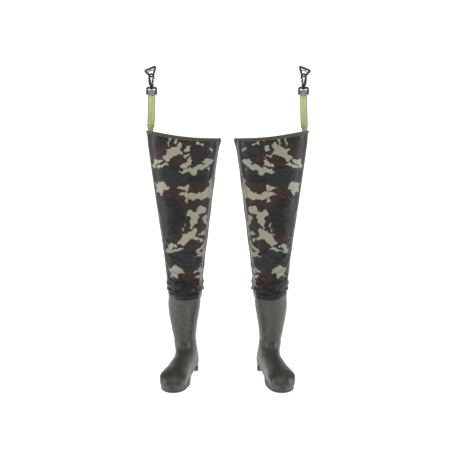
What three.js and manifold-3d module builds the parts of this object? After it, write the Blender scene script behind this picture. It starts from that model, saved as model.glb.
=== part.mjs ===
// A pair of hip waders: moulded PVC boots, coated fabric legs, and a belt strap with a swivel snap hook
// on the outer side of each leg. Millimetres, +Z up, the pair stands on its soles and faces -Y.
import * as THREE from "three";
import { mergeVertices } from "three/addons/utils/BufferGeometryUtils.js";
import Module from "manifold-3d";

const wasm = await Module();
wasm.setup();

// ---------------------------------------------------------------- driving dimensions
const LEG_SPACING = 302; // between the two shaft axes
const FOOT_LENGTH = 304; // heel to toe of the boot upper
const FOOT_WIDTH = 102; // across the ball of the upper
const FOOT_BACK = 72; // heel to shaft axis
const TOE_OUT = 8; // degrees that each foot turns outwards
const SHAFT_TOP = 310; // height of the boot's rim
const SHAFT_WIDTH = 116; // side to side at the rim
const SHAFT_DEPTH = 138; // front to back at the rim
const ANKLE_WIDTH = 74;
const BOOT_WALL = 3.0;
const LINING_WALL = 1.0;
const INSOLE_THICK = 4;
const SOLE_RIM = 2.5; // how far the outsole stands out round the upper
const SOLE_THICK = 13; // under the ball of the foot
const HEEL_BLOCK = 68; // length of the heel block
const SHANK_LIFT = 8; // arch between heel block and tread
const TREAD_DEPTH = 4;
const GROOVE_WIDTH = 5;
const GAP = 0.3; // between pieces that touch

const LEG_WALL = 1.2; // coated fabric
const LEG_LOW = SHAFT_TOP - 27; // lower edge of the leg, welded over the boot
const LEG_FREE = LEG_LOW + 72; // above this the leg no longer follows the boot
const KNEE_LOW = 410; // where the leg starts to bend
const KNEE_HIGH = 570;
const HEM_OUTER = 865; // height of the hem on the strap side
const HEM_INNER = 838;
const HEM_SAG = 4; // dip between the two
const HEM_WIDTH = 256; // side to side at the hem
const HEM_DEPTH = 148;
const KNEE_WIDTH = 160; // side to side at the knee
const SEAM_WIDTH = 8; // welded seam flange on the inner side
const HEM_BAND_HEIGHT = 9;
const HEM_BAND_WALL = 1.0;
const WELD_BAND_HEIGHT = 22;
const WELD_BAND_WALL = 1.2;

const STRAP_WIDTH = 25;
const STRAP_THICK = 1.5;
const STRAP_RISE = 5; // fold line above the hem
const STRAP_X = -118; // from the shaft axis, on the outer side
const STRAP_LENGTH = 125; // from the fold line to the lower arc of its pocket
const STRAP_TAIL = 11; // sewn overlap under the pocket
const TWIST_LENGTH = 50; // the strap turns to face forwards over this length
const ANCHOR_LENGTH = 46; // sewn inside the leg
const PATCH_LENGTH = 58;
const PATCH_THICK = 1.0;
const POCKET_HEIGHT = 7.5; // slack of the pocket round the loop's bar
const BAR_RADIUS = 2.0;

const LOOP_THICK = 5;
const LOOP_ARM = 4;
const LOOP_RISE = 15.5; // bar centre to the underside of the top bar
const LOOP_TOP_BAR = 5.5;
const COLLAR_RADIUS = 6;
const COLLAR_HEIGHT = 2.5; // above the top bar
const POST_RADIUS = 3;
const POST_HEAD = 4.5; // radius of the head that keeps the post in the collar
const SWIVEL_CLEAR = 0.3;

const HOOK_TURN = 40; // degrees from the strap's plane
const HOOK_THICK = 5.4;
const HOOK_BODY_THICK = 8;
const HOOK_EYE = 6.2; // radius inside the crook
const HOOK_STOCK = 5; // radial thickness of the crook
const HOOK_REACH = 33.5; // base to the centre of the crook
const HOOK_BEVEL = 1.2;
const GATE_PIN_RADIUS = 1.1;
const GATE_PIVOT = [2.4, 6.2];
const GATE_THICK = 3.6;

const RING_TURN = -30; // degrees from the strap's plane
const RING_TILT = 16; // degrees that the ring leans at rest
const RING_THICK = 4;
const RING_WIDTH = 43;
const RING_HEIGHT = 32; // above the hinge axis
const RING_STOCK = 4.8;
const RING_EYE = 4.2; // radius of the V's round bottom

const ROUND_BOOT = 24; // points round a boot section
const ROUND_LEG = 24; // points round a leg section

// ---------------------------------------------------------------- helpers
const rad = THREE.MathUtils.degToRad;
const smooth = THREE.MathUtils.smoothstep;
const mix = THREE.MathUtils.lerp;
const v3 = (x, y, z) => new THREE.Vector3(x, y, z);

// Values given at a few stations, joined by a smooth monotone-enough Catmull-Rom line.
function stations(rows) {
  const columns = rows[0].length;
  const curve = (column) => (s) => {
    const at = s * (rows.length - 1);
    const i = Math.min(Math.floor(at), rows.length - 2);
    const p = (k) => rows[Math.min(Math.max(k, 0), rows.length - 1)][column];
    const t = at - i;
    const [a, b, c, d] = [p(i - 1), p(i), p(i + 1), p(i + 2)];
    return b + 0.5 * t * (c - a + t * (2 * a - 5 * b + 4 * c - d + t * (3 * (b - c) + d - a)));
  };
  return Array.from({ length: columns }, (_, k) => curve(k));
}

// A superellipse point: angle t, half sizes a and b, exponent n.
function oval(t, a, b, n) {
  const c = Math.cos(t);
  const s = Math.sin(t);
  return [a * Math.sign(c) * Math.abs(c) ** (2 / n), b * Math.sign(s) * Math.abs(s) ** (2 / n)];
}

// Joins rings of equal length into one closed surface. A cyclic list closes on itself, any other gets two fans.
function loft(rings, cyclic) {
  const n = rings[0].length;
  const points = rings.flat();
  const faces = [];
  const spans = cyclic ? rings.length : rings.length - 1;
  for (let i = 0; i < spans; i++) {
    const a = i * n;
    const b = ((i + 1) % rings.length) * n;
    for (let k = 0; k < n; k++) {
      const m = (k + 1) % n;
      faces.push(a + k, b + k, b + m, a + k, b + m, a + m);
    }
  }
  if (!cyclic) {
    for (const [start, flip] of [[0, false], [(rings.length - 1) * n, true]]) {
      const middle = rings[start / n].reduce((sum, p) => sum.add(p), v3(0, 0, 0)).divideScalar(n);
      const hub = points.push(middle) - 1;
      for (let k = 0; k < n; k++) {
        const m = (k + 1) % n;
        faces.push(...(flip ? [hub, start + m, start + k] : [hub, start + k, start + m]));
      }
    }
  }
  let volume = 0;
  for (let i = 0; i < faces.length; i += 3) {
    volume += points[faces[i]].dot(points[faces[i + 1]].clone().cross(points[faces[i + 2]]));
  }
  if (volume < 0) faces.reverse();
  return new THREE.BufferGeometry().setFromPoints(points).setIndex(faces);
}

function solid(geometry) {
  const bare = geometry.clone();
  for (const name of Object.keys(bare.attributes)) if (name !== "position") bare.deleteAttribute(name);
  const merged = mergeVertices(bare, 1e-4);
  const vertProperties = new Float32Array(merged.attributes.position.array);
  const triVerts = new Uint32Array(merged.index.array);
  return new wasm.Manifold(new wasm.Mesh({ numProp: 3, vertProperties, triVerts }));
}

function surface(manifold) {
  const mesh = manifold.getMesh();
  const position = new Float32Array(mesh.numVert * 3);
  for (let i = 0; i < mesh.numVert; i++) {
    position.set(mesh.vertProperties.subarray(i * mesh.numProp, i * mesh.numProp + 3), i * 3);
  }
  const made = new THREE.BufferGeometry().setAttribute("position", new THREE.BufferAttribute(position, 3));
  return made.setIndex(new THREE.BufferAttribute(new Uint32Array(mesh.triVerts), 1));
}

// Moves each vertex by a function of its place.
function bend(geometry, move) {
  const position = geometry.attributes.position;
  const p = v3(0, 0, 0);
  for (let i = 0; i < position.count; i++) {
    move(p.fromBufferAttribute(position, i));
    position.setXYZ(i, p.x, p.y, p.z);
  }
  return geometry;
}

// An outline in the X-Z plane with a thickness along Y, centred on Y = 0.
function plate(outline, thick, holes = [], bevel = 0, curveSegments = 8) {
  const shape = new THREE.Shape(outline);
  shape.holes = holes.map((hole) => new THREE.Path(hole));
  const geometry = new THREE.ExtrudeGeometry(shape, {
    depth: thick - 2 * bevel,
    bevelEnabled: bevel > 0,
    bevelThickness: bevel,
    bevelSize: bevel,
    bevelOffset: -bevel,
    bevelSegments: 1,
    curveSegments,
  });
  return geometry.translate(0, 0, -(thick - 2 * bevel) / 2).rotateX(Math.PI / 2);
}

const arc = (x, y, r, from, to, steps) =>
  Array.from({ length: steps + 1 }, (_, i) => {
    const t = rad(mix(from, to, i / steps));
    return new THREE.Vector2(x + r * Math.cos(t), y + r * Math.sin(t));
  });
const v2 = (x, y) => new THREE.Vector2(x, y);

function cylinder(radius, z0, z1, x = 0, y = 0, sides = 16) {
  return new THREE.CylinderGeometry(radius, radius, z1 - z0, sides)
    .rotateX(Math.PI / 2)
    .translate(x, y, (z0 + z1) / 2);
}

// ---------------------------------------------------------------- materials
const pvcOlive = new THREE.MeshStandardMaterial({ color: 0x4c4b46, roughness: 0.42 });
const pvcSole = new THREE.MeshStandardMaterial({ color: 0x2c2b2b, roughness: 0.6 });
const camouflage = new THREE.MeshStandardMaterial({ color: 0x3b3b38, roughness: 0.4 });
const hemOlive = new THREE.MeshStandardMaterial({ color: 0x3a4030, roughness: 0.6 });
const lime = new THREE.MeshStandardMaterial({ color: 0xa9bb62, roughness: 0.8 });
const greyWeb = new THREE.MeshStandardMaterial({ color: 0x84848a, roughness: 0.8 });
const acetal = new THREE.MeshStandardMaterial({ color: 0x101012, roughness: 0.35 });
const steel = new THREE.MeshStandardMaterial({ color: 0x9a9a9c, roughness: 0.3, metalness: 1 });
const knit = new THREE.MeshStandardMaterial({ color: 0x8a8a86, roughness: 0.95 });
const foam = new THREE.MeshStandardMaterial({ color: 0x3c3c40, roughness: 0.95 });

// ---------------------------------------------------------------- boot
// Sections run from the rim, round the heel, to the toe. Each one lies between a front (or top) point and
// a back (or bottom) point of the side view: front y, front z, back y, back z, width, sideways shift, bottom exponent.
const toeY = FOOT_BACK - FOOT_LENGTH;
const seat = SOLE_THICK; // the upper's underside
const ballWidth = FOOT_WIDTH;
const [frontY, frontZ, backY, backZ, acrossAt, shiftAt, squareAt] = stations([
  [-SHAFT_DEPTH / 2, SHAFT_TOP, SHAFT_DEPTH / 2, SHAFT_TOP, SHAFT_WIDTH, 0, 2],
  [-66, 252, 69, 252, mix(SHAFT_WIDTH, ANKLE_WIDTH, 0.05), 0, 2],
  [-59, 206, 66, 206, mix(SHAFT_WIDTH, ANKLE_WIDTH, 0.36), 0, 2],
  [-52, 165, 61, 163, mix(SHAFT_WIDTH, ANKLE_WIDTH, 0.72), 0, 2],
  [-49, 135, 59, 122, ANKLE_WIDTH + 2, 0, 2],
  [-54, 115, 66, 80, ANKLE_WIDTH + 1, 0, 2.1],
  [-66, 103, FOOT_BACK - 1, 46, ANKLE_WIDTH + 1, 0, 2.4],
  [-84, 93, FOOT_BACK - 7, seat + 5, ANKLE_WIDTH + 2, -1, 2.8],
  [-106, 83, 30, seat, mix(ANKLE_WIDTH, ballWidth, 0.4), -2, 3],
  [-130, 75, -35, seat, mix(ANKLE_WIDTH, ballWidth, 0.8), -4, 3],
  [-154, 70, -100, seat, ballWidth, -5, 3],
  [toeY + 42, 66, -148, seat, ballWidth - 1, -3, 3],
  [toeY + 22, 57, toeY + 30, seat, ballWidth - 16, 1, 2.6],
  [toeY + 7, 42, toeY + 9, seat + 2, ballWidth - 42, 5, 2.2],
  [toeY + 1, 31, toeY + 1, seat + 9, 22, 6, 2],
]);

// The foot turns outwards below the ankle. The outer side is -X.
function turnOut(p) {
  const angle = -rad(TOE_OUT) * (1 - smooth(p.z, 130, 250));
  return p.applyAxisAngle(v3(0, 0, 1), angle);
}

function bootRing(s, inset, around) {
  const front = v3(0, frontY(s), frontZ(s));
  const back = v3(0, backY(s), backZ(s));
  const middle = front.clone().add(back).multiplyScalar(0.5);
  const up = front.clone().sub(back);
  const half = up.length() / 2 - inset;
  const across = acrossAt(s) / 2 - inset;
  up.normalize();
  middle.y += inset * smooth(s, 0.7, 0.95);
  return Array.from({ length: around }, (_, k) => {
    const t = (k / around) * 2 * Math.PI;
    const [along, side] = oval(t, half, across, Math.cos(t) < 0 ? squareAt(s) : 2.1);
    return turnOut(middle.clone().addScaledVector(up, along).add(v3(side + shiftAt(s), 0, 0)));
  });
}

const BOOT_STEPS = 18;
function bootRings(inset, around, skipToe, topGap = 0) {
  const rings = [];
  const topStep = topGap / (SHAFT_TOP - 252) / 14; // the rim starts lower
  for (let i = 0; i <= BOOT_STEPS - skipToe; i++) {
    rings.push(bootRing(i === 0 ? topStep : i / BOOT_STEPS, inset, around));
  }
  return rings;
}

// A shell between two insets, open at the rim.
const bootShell = (outer, inner, around, skipOuter, skipInner, topGap) =>
  loft(
    [
      ...bootRings(inner, around, skipInner, topGap).reverse(),
      ...bootRings(outer, around, skipOuter, topGap),
    ],
    false,
  );

const liningInset = BOOT_WALL + GAP;
const footInset = liningInset + LINING_WALL;
const bootUpper = () => bootShell(0, BOOT_WALL, ROUND_BOOT, 0, 0, 0);
const bootLining = () => bootShell(liningInset, footInset, ROUND_BOOT / 2, 2, 2, 4);

// The insole is the bottom slice of the space inside the lining.
function insole() {
  const space = solid(loft(bootRings(footInset + 1.2, ROUND_BOOT / 2, 2), false));
  const low = seat + footInset + 0.5;
  const slice = solid(
    new THREE.BoxGeometry(400, 2 * FOOT_LENGTH, INSOLE_THICK).translate(0, -FOOT_LENGTH / 2, low + INSOLE_THICK / 2),
  );
  return surface(space.intersect(slice));
}

// Outsole: the foot's outline with a rim, cut to a side profile with heel block, shank and a slight toe spring.
function outsole() {
  const right = [];
  const left = [];
  const rows = 18;
  for (let i = 0; i <= rows; i++) {
    const s = mix(0.47, 1, 1 - (1 - i / rows) ** 1.4); // closer together at the toe
    const half = acrossAt(s) / 2 + SOLE_RIM * 0.75;
    const ahead = backY(s) - SOLE_RIM * smooth(s, 0.8, 1);
    right.push(v2(shiftAt(s) + half, ahead));
    left.push(v2(shiftAt(s) - half, ahead));
  }
  const heelWide = ANKLE_WIDTH / 2 + SOLE_RIM;
  const heelEnd = FOOT_BACK + SOLE_RIM - 1;
  const heel = arc(0, heelEnd - heelWide, heelWide, 0, 180, 10);
  const keep = (p) => p.y < heelEnd - heelWide - 4;
  const outline = [...right.filter(keep).reverse(), ...heel, ...left.filter(keep)];
  const block = new THREE.ExtrudeGeometry(new THREE.Shape(outline), { depth: 60, bevelEnabled: false });
  const tread = FOOT_BACK + SOLE_RIM - HEEL_BLOCK;
  const side = new THREE.Shape([
    v2(toeY - 20, 9),
    v2(toeY + 22, 0),
    v2(tread - 62, 0),
    v2(tread - 52, SHANK_LIFT),
    v2(tread - 4, SHANK_LIFT),
    v2(tread, 0),
    v2(FOOT_BACK + 20, 0),
    v2(FOOT_BACK + 20, seat + 8),
    v2(FOOT_BACK - 14, seat + 6),
    v2(FOOT_BACK - 40, seat - GAP),
    v2(toeY + 24, seat - GAP),
    v2(toeY + 6, seat + 4),
    v2(toeY - 20, seat + 8),
  ]);
  const wide = 2 * FOOT_WIDTH;
  const profile = new THREE.ExtrudeGeometry(side, { depth: wide, bevelEnabled: false })
    .applyMatrix4(new THREE.Matrix4().makeBasis(v3(0, 1, 0), v3(0, 0, 1), v3(1, 0, 0)))
    .translate(-wide / 2, 0, 0);
  let made = solid(block).intersect(solid(profile));
  const grooves = [0, 1, 2, 3].map((i) => toeY + 44 + i * 19).concat([tread + 20, tread + 42]);
  for (const y of grooves) {
    const cut = new THREE.BoxGeometry(wide, GROOVE_WIDTH, 2 * TREAD_DEPTH).translate(0, y, 0);
    made = made.subtract(solid(cut));
  }
  // The upper's bottom round stands in the sole's edge, so it is cut clear of it.
  const clear = solid(loft(bootRingsLocal(-GAP), false));
  return surface(made.subtract(clear));
}

// The boot's outside before the foot turns out.
function bootRingsLocal(inset) {
  return bootRings(inset, ROUND_BOOT, 0).map((ring) => ring.map((p) => turnBack(p)));
}
function turnBack(p) {
  const angle = rad(TOE_OUT) * (1 - smooth(p.z, 130, 250));
  return p.applyAxisAngle(v3(0, 0, 1), angle);
}

// ---------------------------------------------------------------- leg
// The boot's half sizes at a height in the shaft, for what hugs it.
function shaftAt(z) {
  const s = ((SHAFT_TOP - z) / (SHAFT_TOP - 252)) * (1 / 14);
  return { a: acrossAt(s) / 2, b: (backY(s) - frontY(s)) / 2, y: (backY(s) + frontY(s)) / 2 };
}

// The leg's mid-surface: half sizes, centre and exponent at a height.
function legAt(z) {
  const hug = shaftAt(Math.min(z, SHAFT_TOP));
  const free = smooth(z, LEG_LOW + 12, LEG_FREE);
  const up = THREE.MathUtils.clamp((z - LEG_FREE) / (HEM_OUTER - LEG_FREE), 0, 1);
  const kneeShare = ((KNEE_LOW + KNEE_HIGH) / 2 - LEG_FREE) / (HEM_OUTER - LEG_FREE);
  const wide = up < kneeShare ? mix(128, KNEE_WIDTH, up / kneeShare)
    : mix(KNEE_WIDTH, HEM_WIDTH, (up - kneeShare) / (1 - kneeShare));
  const cover = 5 * GAP + LEG_WALL / 2;
  return {
    a: mix(hug.a + cover, wide / 2, free),
    b: mix(hug.b + cover, HEM_DEPTH / 2 - 2 * (1 - up), free),
    x: -2.5 * up,
    y: mix(hug.y, 0, free),
    n: mix(2, 2.3, free),
  };
}

// A point of the leg at angle t (0 = inner side, 180 = outer side, 90 = back), moved out by offset.
function legPoint(t, z, offset) {
  const { a, b, x, y, n } = legAt(z);
  const [px, py] = oval(t, a + offset, b + offset, n);
  return v3(x + px, y + py, z);
}

// Height of the hem at a sideways place: high on the outer side, low on the inner one.
function hemHeight(x) {
  const k = THREE.MathUtils.clamp(x / HEM_WIDTH + 0.5, 0, 1);
  return mix(HEM_OUTER, HEM_INNER, k) - HEM_SAG * Math.sin(Math.PI * k);
}

// The welded seam flange stands out on the inner side, between the weld band and the hem band.
const bandTop = LEG_LOW - 6 + WELD_BAND_HEIGHT;
const seamTop = HEM_INNER - HEM_BAND_HEIGHT - 3;
const seamAt = (z) => SEAM_WIDTH * smooth(z, bandTop + 1, bandTop + 10) * (1 - smooth(z, seamTop - 8, seamTop));

// One ring of the leg: a height for each sideways place, an offset from the mid-surface, with or without the flange.
const legAngle = (k) => ((k + 0.5) / ROUND_LEG) * 2 * Math.PI;
function legRing(height, offset, seam) {
  const ring = [];
  for (let k = 0; k < ROUND_LEG; k++) {
    const z = height((legPoint(legAngle(k), KNEE_HIGH, 0).x * HEM_WIDTH) / legAt(KNEE_HIGH).a / 2);
    ring.push(legPoint(legAngle(k), z, offset));
  }
  const z = height(HEM_WIDTH / 2);
  const edge = legPoint(0, z, offset);
  const out = seam ? seamAt(z) : 0;
  const [low, high] = [-1, 1].map((side) => v3(edge.x + out, edge.y + side * LEG_WALL, z));
  return [high, ...ring, low];
}

function legTube(levels, inner = -LEG_WALL / 2, outer = LEG_WALL / 2, seam = true) {
  const outside = levels.map((level) => legRing(level, outer, seam));
  const inside = levels.map((level) => legRing(level, inner, false));
  return loft([...outside, ...inside.reverse()], true);
}

const flat = (z) => () => z;
const between = (low, high, steps) => Array.from({ length: steps + 1 }, (_, i) => flat(mix(low, high, i / steps)));
const legShin = () =>
  legTube([flat(LEG_LOW), ...between(bandTop + 1, bandTop + 12, 1), ...between(LEG_FREE - 20, KNEE_LOW - GAP, 3)]);
const legKnee = () => legTube(between(KNEE_LOW, KNEE_HIGH, 2));
const legThigh = () => {
  const under = (x) => hemHeight(x) - HEM_BAND_HEIGHT - 3;
  const rising = [0, 0.33, 0.66, 0.95, 1].map((t) => (x) => mix(KNEE_HIGH + GAP, under(x), t));
  return legTube([...rising, hemHeight]);
};
const weldBand = () => {
  const inner = LEG_WALL / 2 + GAP;
  return legTube(between(LEG_LOW - 6, bandTop, 2), inner, inner + WELD_BAND_WALL, false);
};

// The hem band folds over the leg's top edge: a U in section.
function hemBand() {
  const out = LEG_WALL / 2 + GAP;
  const profile = [
    [out, -HEM_BAND_HEIGHT],
    [out + HEM_BAND_WALL, -HEM_BAND_HEIGHT],
    [out + HEM_BAND_WALL, GAP + HEM_BAND_WALL],
    [-out - HEM_BAND_WALL, GAP + HEM_BAND_WALL],
    [-out - HEM_BAND_WALL, -HEM_BAND_HEIGHT],
    [-out, -HEM_BAND_HEIGHT],
    [-out, GAP],
    [out, GAP],
  ];
  return loft(
    profile.map(([offset, dz]) => legRing((x) => hemHeight(x) + dz, offset, false)),
    true,
  );
}

// ---------------------------------------------------------------- strap
const strapT = (() => {
  // Angle of the back wall under the strap, from its sideways place.
  const { a, n, x } = legAt(HEM_OUTER);
  return Math.PI - Math.acos(((x - STRAP_X) / a) ** (n / 2));
})();
const strapSpan = (width) =>
  (0.1 * width) / legPoint(strapT, HEM_OUTER, 0).distanceTo(legPoint(strapT + 0.1, HEM_OUTER, 0));

// A point on the leg's flat facets rather than on its ideal curve.
function facetPoint(t, z, offset) {
  const k = (t / 2 / Math.PI) * ROUND_LEG - 0.5;
  const whole = Math.floor(k);
  return legPoint(legAngle(whole), z, offset).lerp(legPoint(legAngle(whole + 1), z, offset), k - whole);
}

// A patch of the leg's inside, between two heights, at a depth under the mid-surface.
function wallPatch(width, z0, z1, depth, thick) {
  const half = strapSpan(width) / 2;
  const columns = 6;
  const rings = [];
  for (let k = 0; k <= columns; k++) {
    const t = strapT + mix(-half, half, k / columns);
    rings.push([
      facetPoint(t, z0, -depth),
      facetPoint(t, z1, -depth),
      facetPoint(t, z1, -depth - thick),
      facetPoint(t, z0, -depth - thick),
    ]);
  }
  return loft(rings, false);
}

const hemDepth = LEG_WALL / 2 + 2 * GAP + HEM_BAND_WALL;
const foldZ = hemHeight(STRAP_X) + GAP + HEM_BAND_WALL + STRAP_RISE;
const foldAt = facetPoint(strapT, HEM_OUTER, -hemDepth - STRAP_THICK / 2);
const wallAhead = legPoint(strapT + 0.1, HEM_OUTER, 0).sub(legPoint(strapT - 0.1, HEM_OUTER, 0));
const baseTurn = Math.atan2(-wallAhead.y, -wallAhead.x); // the wall's direction under the strap
const barZ = foldZ + STRAP_LENGTH;

const strapAnchor = () =>
  wallPatch(STRAP_WIDTH, foldZ - ANCHOR_LENGTH, foldZ - STRAP_THICK / 2 - 2 * GAP, hemDepth, STRAP_THICK);
const strapPatch = () =>
  wallPatch(
    STRAP_WIDTH + 16,
    foldZ - PATCH_LENGTH,
    foldZ - PATCH_LENGTH + 42,
    hemDepth + STRAP_THICK + 3 * GAP,
    PATCH_THICK,
  );

// The strap's own frame has its fold line at the origin, X along its width and Z up.
function strap() {
  const pocket = [0, STRAP_LENGTH, BAR_RADIUS + GAP];
  const tailLow = STRAP_LENGTH - BAR_RADIUS - STRAP_TAIL;
  const outer = pocket[2] + STRAP_THICK;
  const hardwareY = -STRAP_THICK / 2;
  const outline = [
    v2(hardwareY - STRAP_THICK, tailLow),
    v2(hardwareY + STRAP_THICK, tailLow),
    v2(hardwareY + STRAP_THICK, tailLow + STRAP_TAIL * 0.45),
    ...arc(hardwareY, STRAP_LENGTH, outer, -20, 0, 2),
    ...arc(hardwareY, STRAP_LENGTH + POCKET_HEIGHT, outer, 0, 180, 8),
    ...arc(hardwareY, STRAP_LENGTH, outer, 180, 200, 2),
    v2(hardwareY - STRAP_THICK, tailLow + STRAP_TAIL * 0.45),
  ];
  const hole = [
    ...arc(hardwareY, STRAP_LENGTH, pocket[2], 180, 360, 8),
    ...arc(hardwareY, STRAP_LENGTH + POCKET_HEIGHT, pocket[2], 0, 180, 8),
  ];
  const shape = new THREE.Shape(outline);
  shape.holes = [new THREE.Path(hole)];
  const top = new THREE.ExtrudeGeometry(shape, { depth: STRAP_WIDTH, bevelEnabled: false })
    .applyMatrix4(new THREE.Matrix4().makeBasis(v3(0, 1, 0), v3(0, 0, 1), v3(1, 0, 0)))
    .translate(-STRAP_WIDTH / 2, 0, 0);
  const rings = [];
  const heights = [-STRAP_THICK / 2, 0, 8, 16, 24, 32, 40, TWIST_LENGTH, tailLow + 1];
  for (const z of heights) {
    const turn = baseTurn * (1 - smooth(z, 0, TWIST_LENGTH));
    const half = z < 0 ? STRAP_THICK / 6 : STRAP_THICK / 2; // rounded lower edge
    const corners = [[-1, -1], [1, -1], [1, 1], [-1, 1]];
    rings.push(
      corners.map(([x, y]) => v3((x * STRAP_WIDTH) / 2, y * half, z).applyAxisAngle(v3(0, 0, 1), turn)),
    );
  }
  return surface(solid(loft(rings, false)).add(solid(top)));
}

// ---------------------------------------------------------------- strap loop, hook and ring
// The hardware's frame has the loop's bar centre at the origin.
const topBarLow = LOOP_RISE;
const topBarHigh = LOOP_RISE + LOOP_TOP_BAR;
const hookBase = topBarHigh + COLLAR_HEIGHT + SWIVEL_CLEAR;

function strapLoop() {
  const inside = STRAP_WIDTH / 2 + 0.6;
  const low = inside + LOOP_ARM - 0.6;
  const high = inside + LOOP_ARM + 1;
  const outline = [
    v2(-low + 2, -BAR_RADIUS),
    v2(low - 2, -BAR_RADIUS),
    v2(low, 0),
    ...arc(high - 3, topBarHigh - 3, 3, 0, 90, 4),
    ...arc(-high + 3, topBarHigh - 3, 3, 90, 180, 4),
    v2(-low, 0),
  ];
  const hole = [
    v2(-inside, BAR_RADIUS),
    v2(-inside, topBarLow - 2),
    v2(-inside + 2, topBarLow),
    v2(inside - 2, topBarLow),
    v2(inside, topBarLow - 2),
    v2(inside, BAR_RADIUS),
  ];
  let made = solid(plate(outline, LOOP_THICK, [hole], 1));
  // The bar is round where the webbing wraps it.
  const slot = new THREE.BoxGeometry(2 * inside, 2 * LOOP_THICK, 2 * BAR_RADIUS + 2);
  const bar = new THREE.CylinderGeometry(BAR_RADIUS, BAR_RADIUS, 2 * inside + 2, 12).rotateZ(Math.PI / 2);
  made = made.subtract(solid(slot)).add(solid(bar));
  made = made.add(solid(cylinder(COLLAR_RADIUS, topBarLow, topBarHigh + COLLAR_HEIGHT)));
  const bore = cylinder(POST_RADIUS + SWIVEL_CLEAR, topBarLow - 1, topBarHigh + COLLAR_HEIGHT + 1);
  return surface(made.subtract(solid(bore)));
}

// Hook, gate and pin share a frame whose origin is the hook's base on the swivel axis.
function hookBody() {
  const out = HOOK_EYE + HOOK_STOCK;
  const crook = plate(
    [
      v2(-6.5, 0),
      v2(6.5, 0),
      v2(6.8, 3),
      v2(5, 3.2),
      v2(-1.2, 9.5),
      v2(-3.4, 20),
      v2(-HOOK_EYE, HOOK_REACH - 3),
      ...arc(0, HOOK_REACH, HOOK_EYE, 180, 0, 10),
      v2(HOOK_EYE - 0.2, 25.4),
      v2(HOOK_EYE + 1.5, 24.2),
      v2(out - 1, 25),
      ...arc(0, HOOK_REACH, out, 0, 180, 14),
      v2(-out + 0.6, 25),
      v2(-8.2, 8),
    ],
    HOOK_THICK,
    [],
    HOOK_BEVEL,
  );
  // Two cheeks carry the gate's pin, and thicken the foot of the hook.
  const cheek = plate(
    [v2(-7, 0), v2(6.5, 0), v2(6.5, 6.5), ...arc(GATE_PIVOT[0], GATE_PIVOT[1], 4, 5, 150, 5), v2(-6.2, 14)],
    HOOK_BODY_THICK,
    [],
    1,
  );
  let made = solid(crook).add(solid(cheek));
  const slot = new THREE.BoxGeometry(20, GATE_THICK + 2 * GAP, 30).translate(GATE_PIVOT[0] + 6, 0, 3.6 + 15);
  const keepNose = solid(
    plate([v2(HOOK_EYE - 0.6, 24), v2(out + 1, 24), v2(out + 1, 60), v2(HOOK_EYE - 0.6, 60)], HOOK_THICK + 2),
  );
  const spring = plate([v2(-2.2, 9.5), v2(4, 3.6), v2(-1.4, 3.6)], GATE_THICK + 2 * GAP);
  made = made.subtract(solid(slot).subtract(keepNose)).subtract(solid(spring));
  const pin = new THREE.CylinderGeometry(GATE_PIN_RADIUS + 0.1, GATE_PIN_RADIUS + 0.1, 20, 12);
  made = made.subtract(solid(pin.translate(GATE_PIVOT[0], 0, GATE_PIVOT[1])));
  const post = cylinder(POST_RADIUS, topBarLow - hookBase - 1, 1);
  const head = cylinder(POST_HEAD, topBarLow - hookBase - 2.4, topBarLow - hookBase - SWIVEL_CLEAR);
  return surface(made.add(solid(post)).add(solid(head)));
}

function gate() {
  const [px, pz] = GATE_PIVOT;
  const lever = plate(
    [
      ...arc(px, pz, 2.3, 180, 330, 6),
      v2(5.6, 9),
      v2(6.4, 15),
      v2(HOOK_EYE + HOOK_STOCK - 0.6, 16.2),
      v2(HOOK_EYE + HOOK_STOCK - 0.4, 22.4),
      v2(6.6, 23.4),
      v2(HOOK_EYE - 0.9, 24.4),
      v2(HOOK_EYE - 0.9, 28.6),
      v2(4.2, 29.6),
      v2(2.6, 28.6),
      v2(1.7, 18),
    ],
    GATE_THICK,
  );
  const pin = new THREE.CylinderGeometry(GATE_PIN_RADIUS + 0.3, GATE_PIN_RADIUS + 0.3, 20, 12);
  return surface(solid(lever).subtract(solid(pin.translate(px, 0, pz))));
}

const gatePin = () =>
  new THREE.CylinderGeometry(GATE_PIN_RADIUS, GATE_PIN_RADIUS, HOOK_BODY_THICK - 0.6, 12).translate(
    GATE_PIVOT[0],
    0,
    GATE_PIVOT[1],
  );

// A steel leaf between the spine and the gate.
function gateSpring() {
  const t = 0.4;
  return plate(
    [
      v2(0.9, 12.5),
      v2(0.9 - t, 12.6),
      v2(-0.9, 10.8),
      v2(-1.1, 19),
      v2(-1.1 - t, 19),
      v2(-1.1 - t, 10.5),
      v2(-0.9, 10.3),
    ],
    GATE_THICK - 0.6,
  );
}

function beltRing() {
  const half = RING_WIDTH / 2;
  const foot = RING_EYE + RING_STOCK;
  const outer = [
    ...arc(0, 0, foot, 215, 325, 8),
    ...arc(half - 3, RING_HEIGHT - 3, 3, -20, 90, 4),
    ...arc(-half + 3, RING_HEIGHT - 3, 3, 90, 200, 4),
  ];
  // The arms' inner faces run from the eye's round bottom to the slot's top corners.
  const slotTop = RING_HEIGHT - RING_STOCK;
  const armX = (z) => half - RING_STOCK - 1 - 0.454 * (slotTop - z);
  const eye = [...arc(0, 0, RING_EYE + 0.4, 204, 336, 8), ...arc(0, 0, 15, 54, 126, 8)];
  const slot = [
    v2(armX(slotTop), slotTop),
    v2(-armX(slotTop), slotTop),
    ...arc(0, 0, 17.4, 125, 55, 8),
  ];
  return plate(outer, RING_THICK, [eye, slot], 0.8);
}

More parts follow.
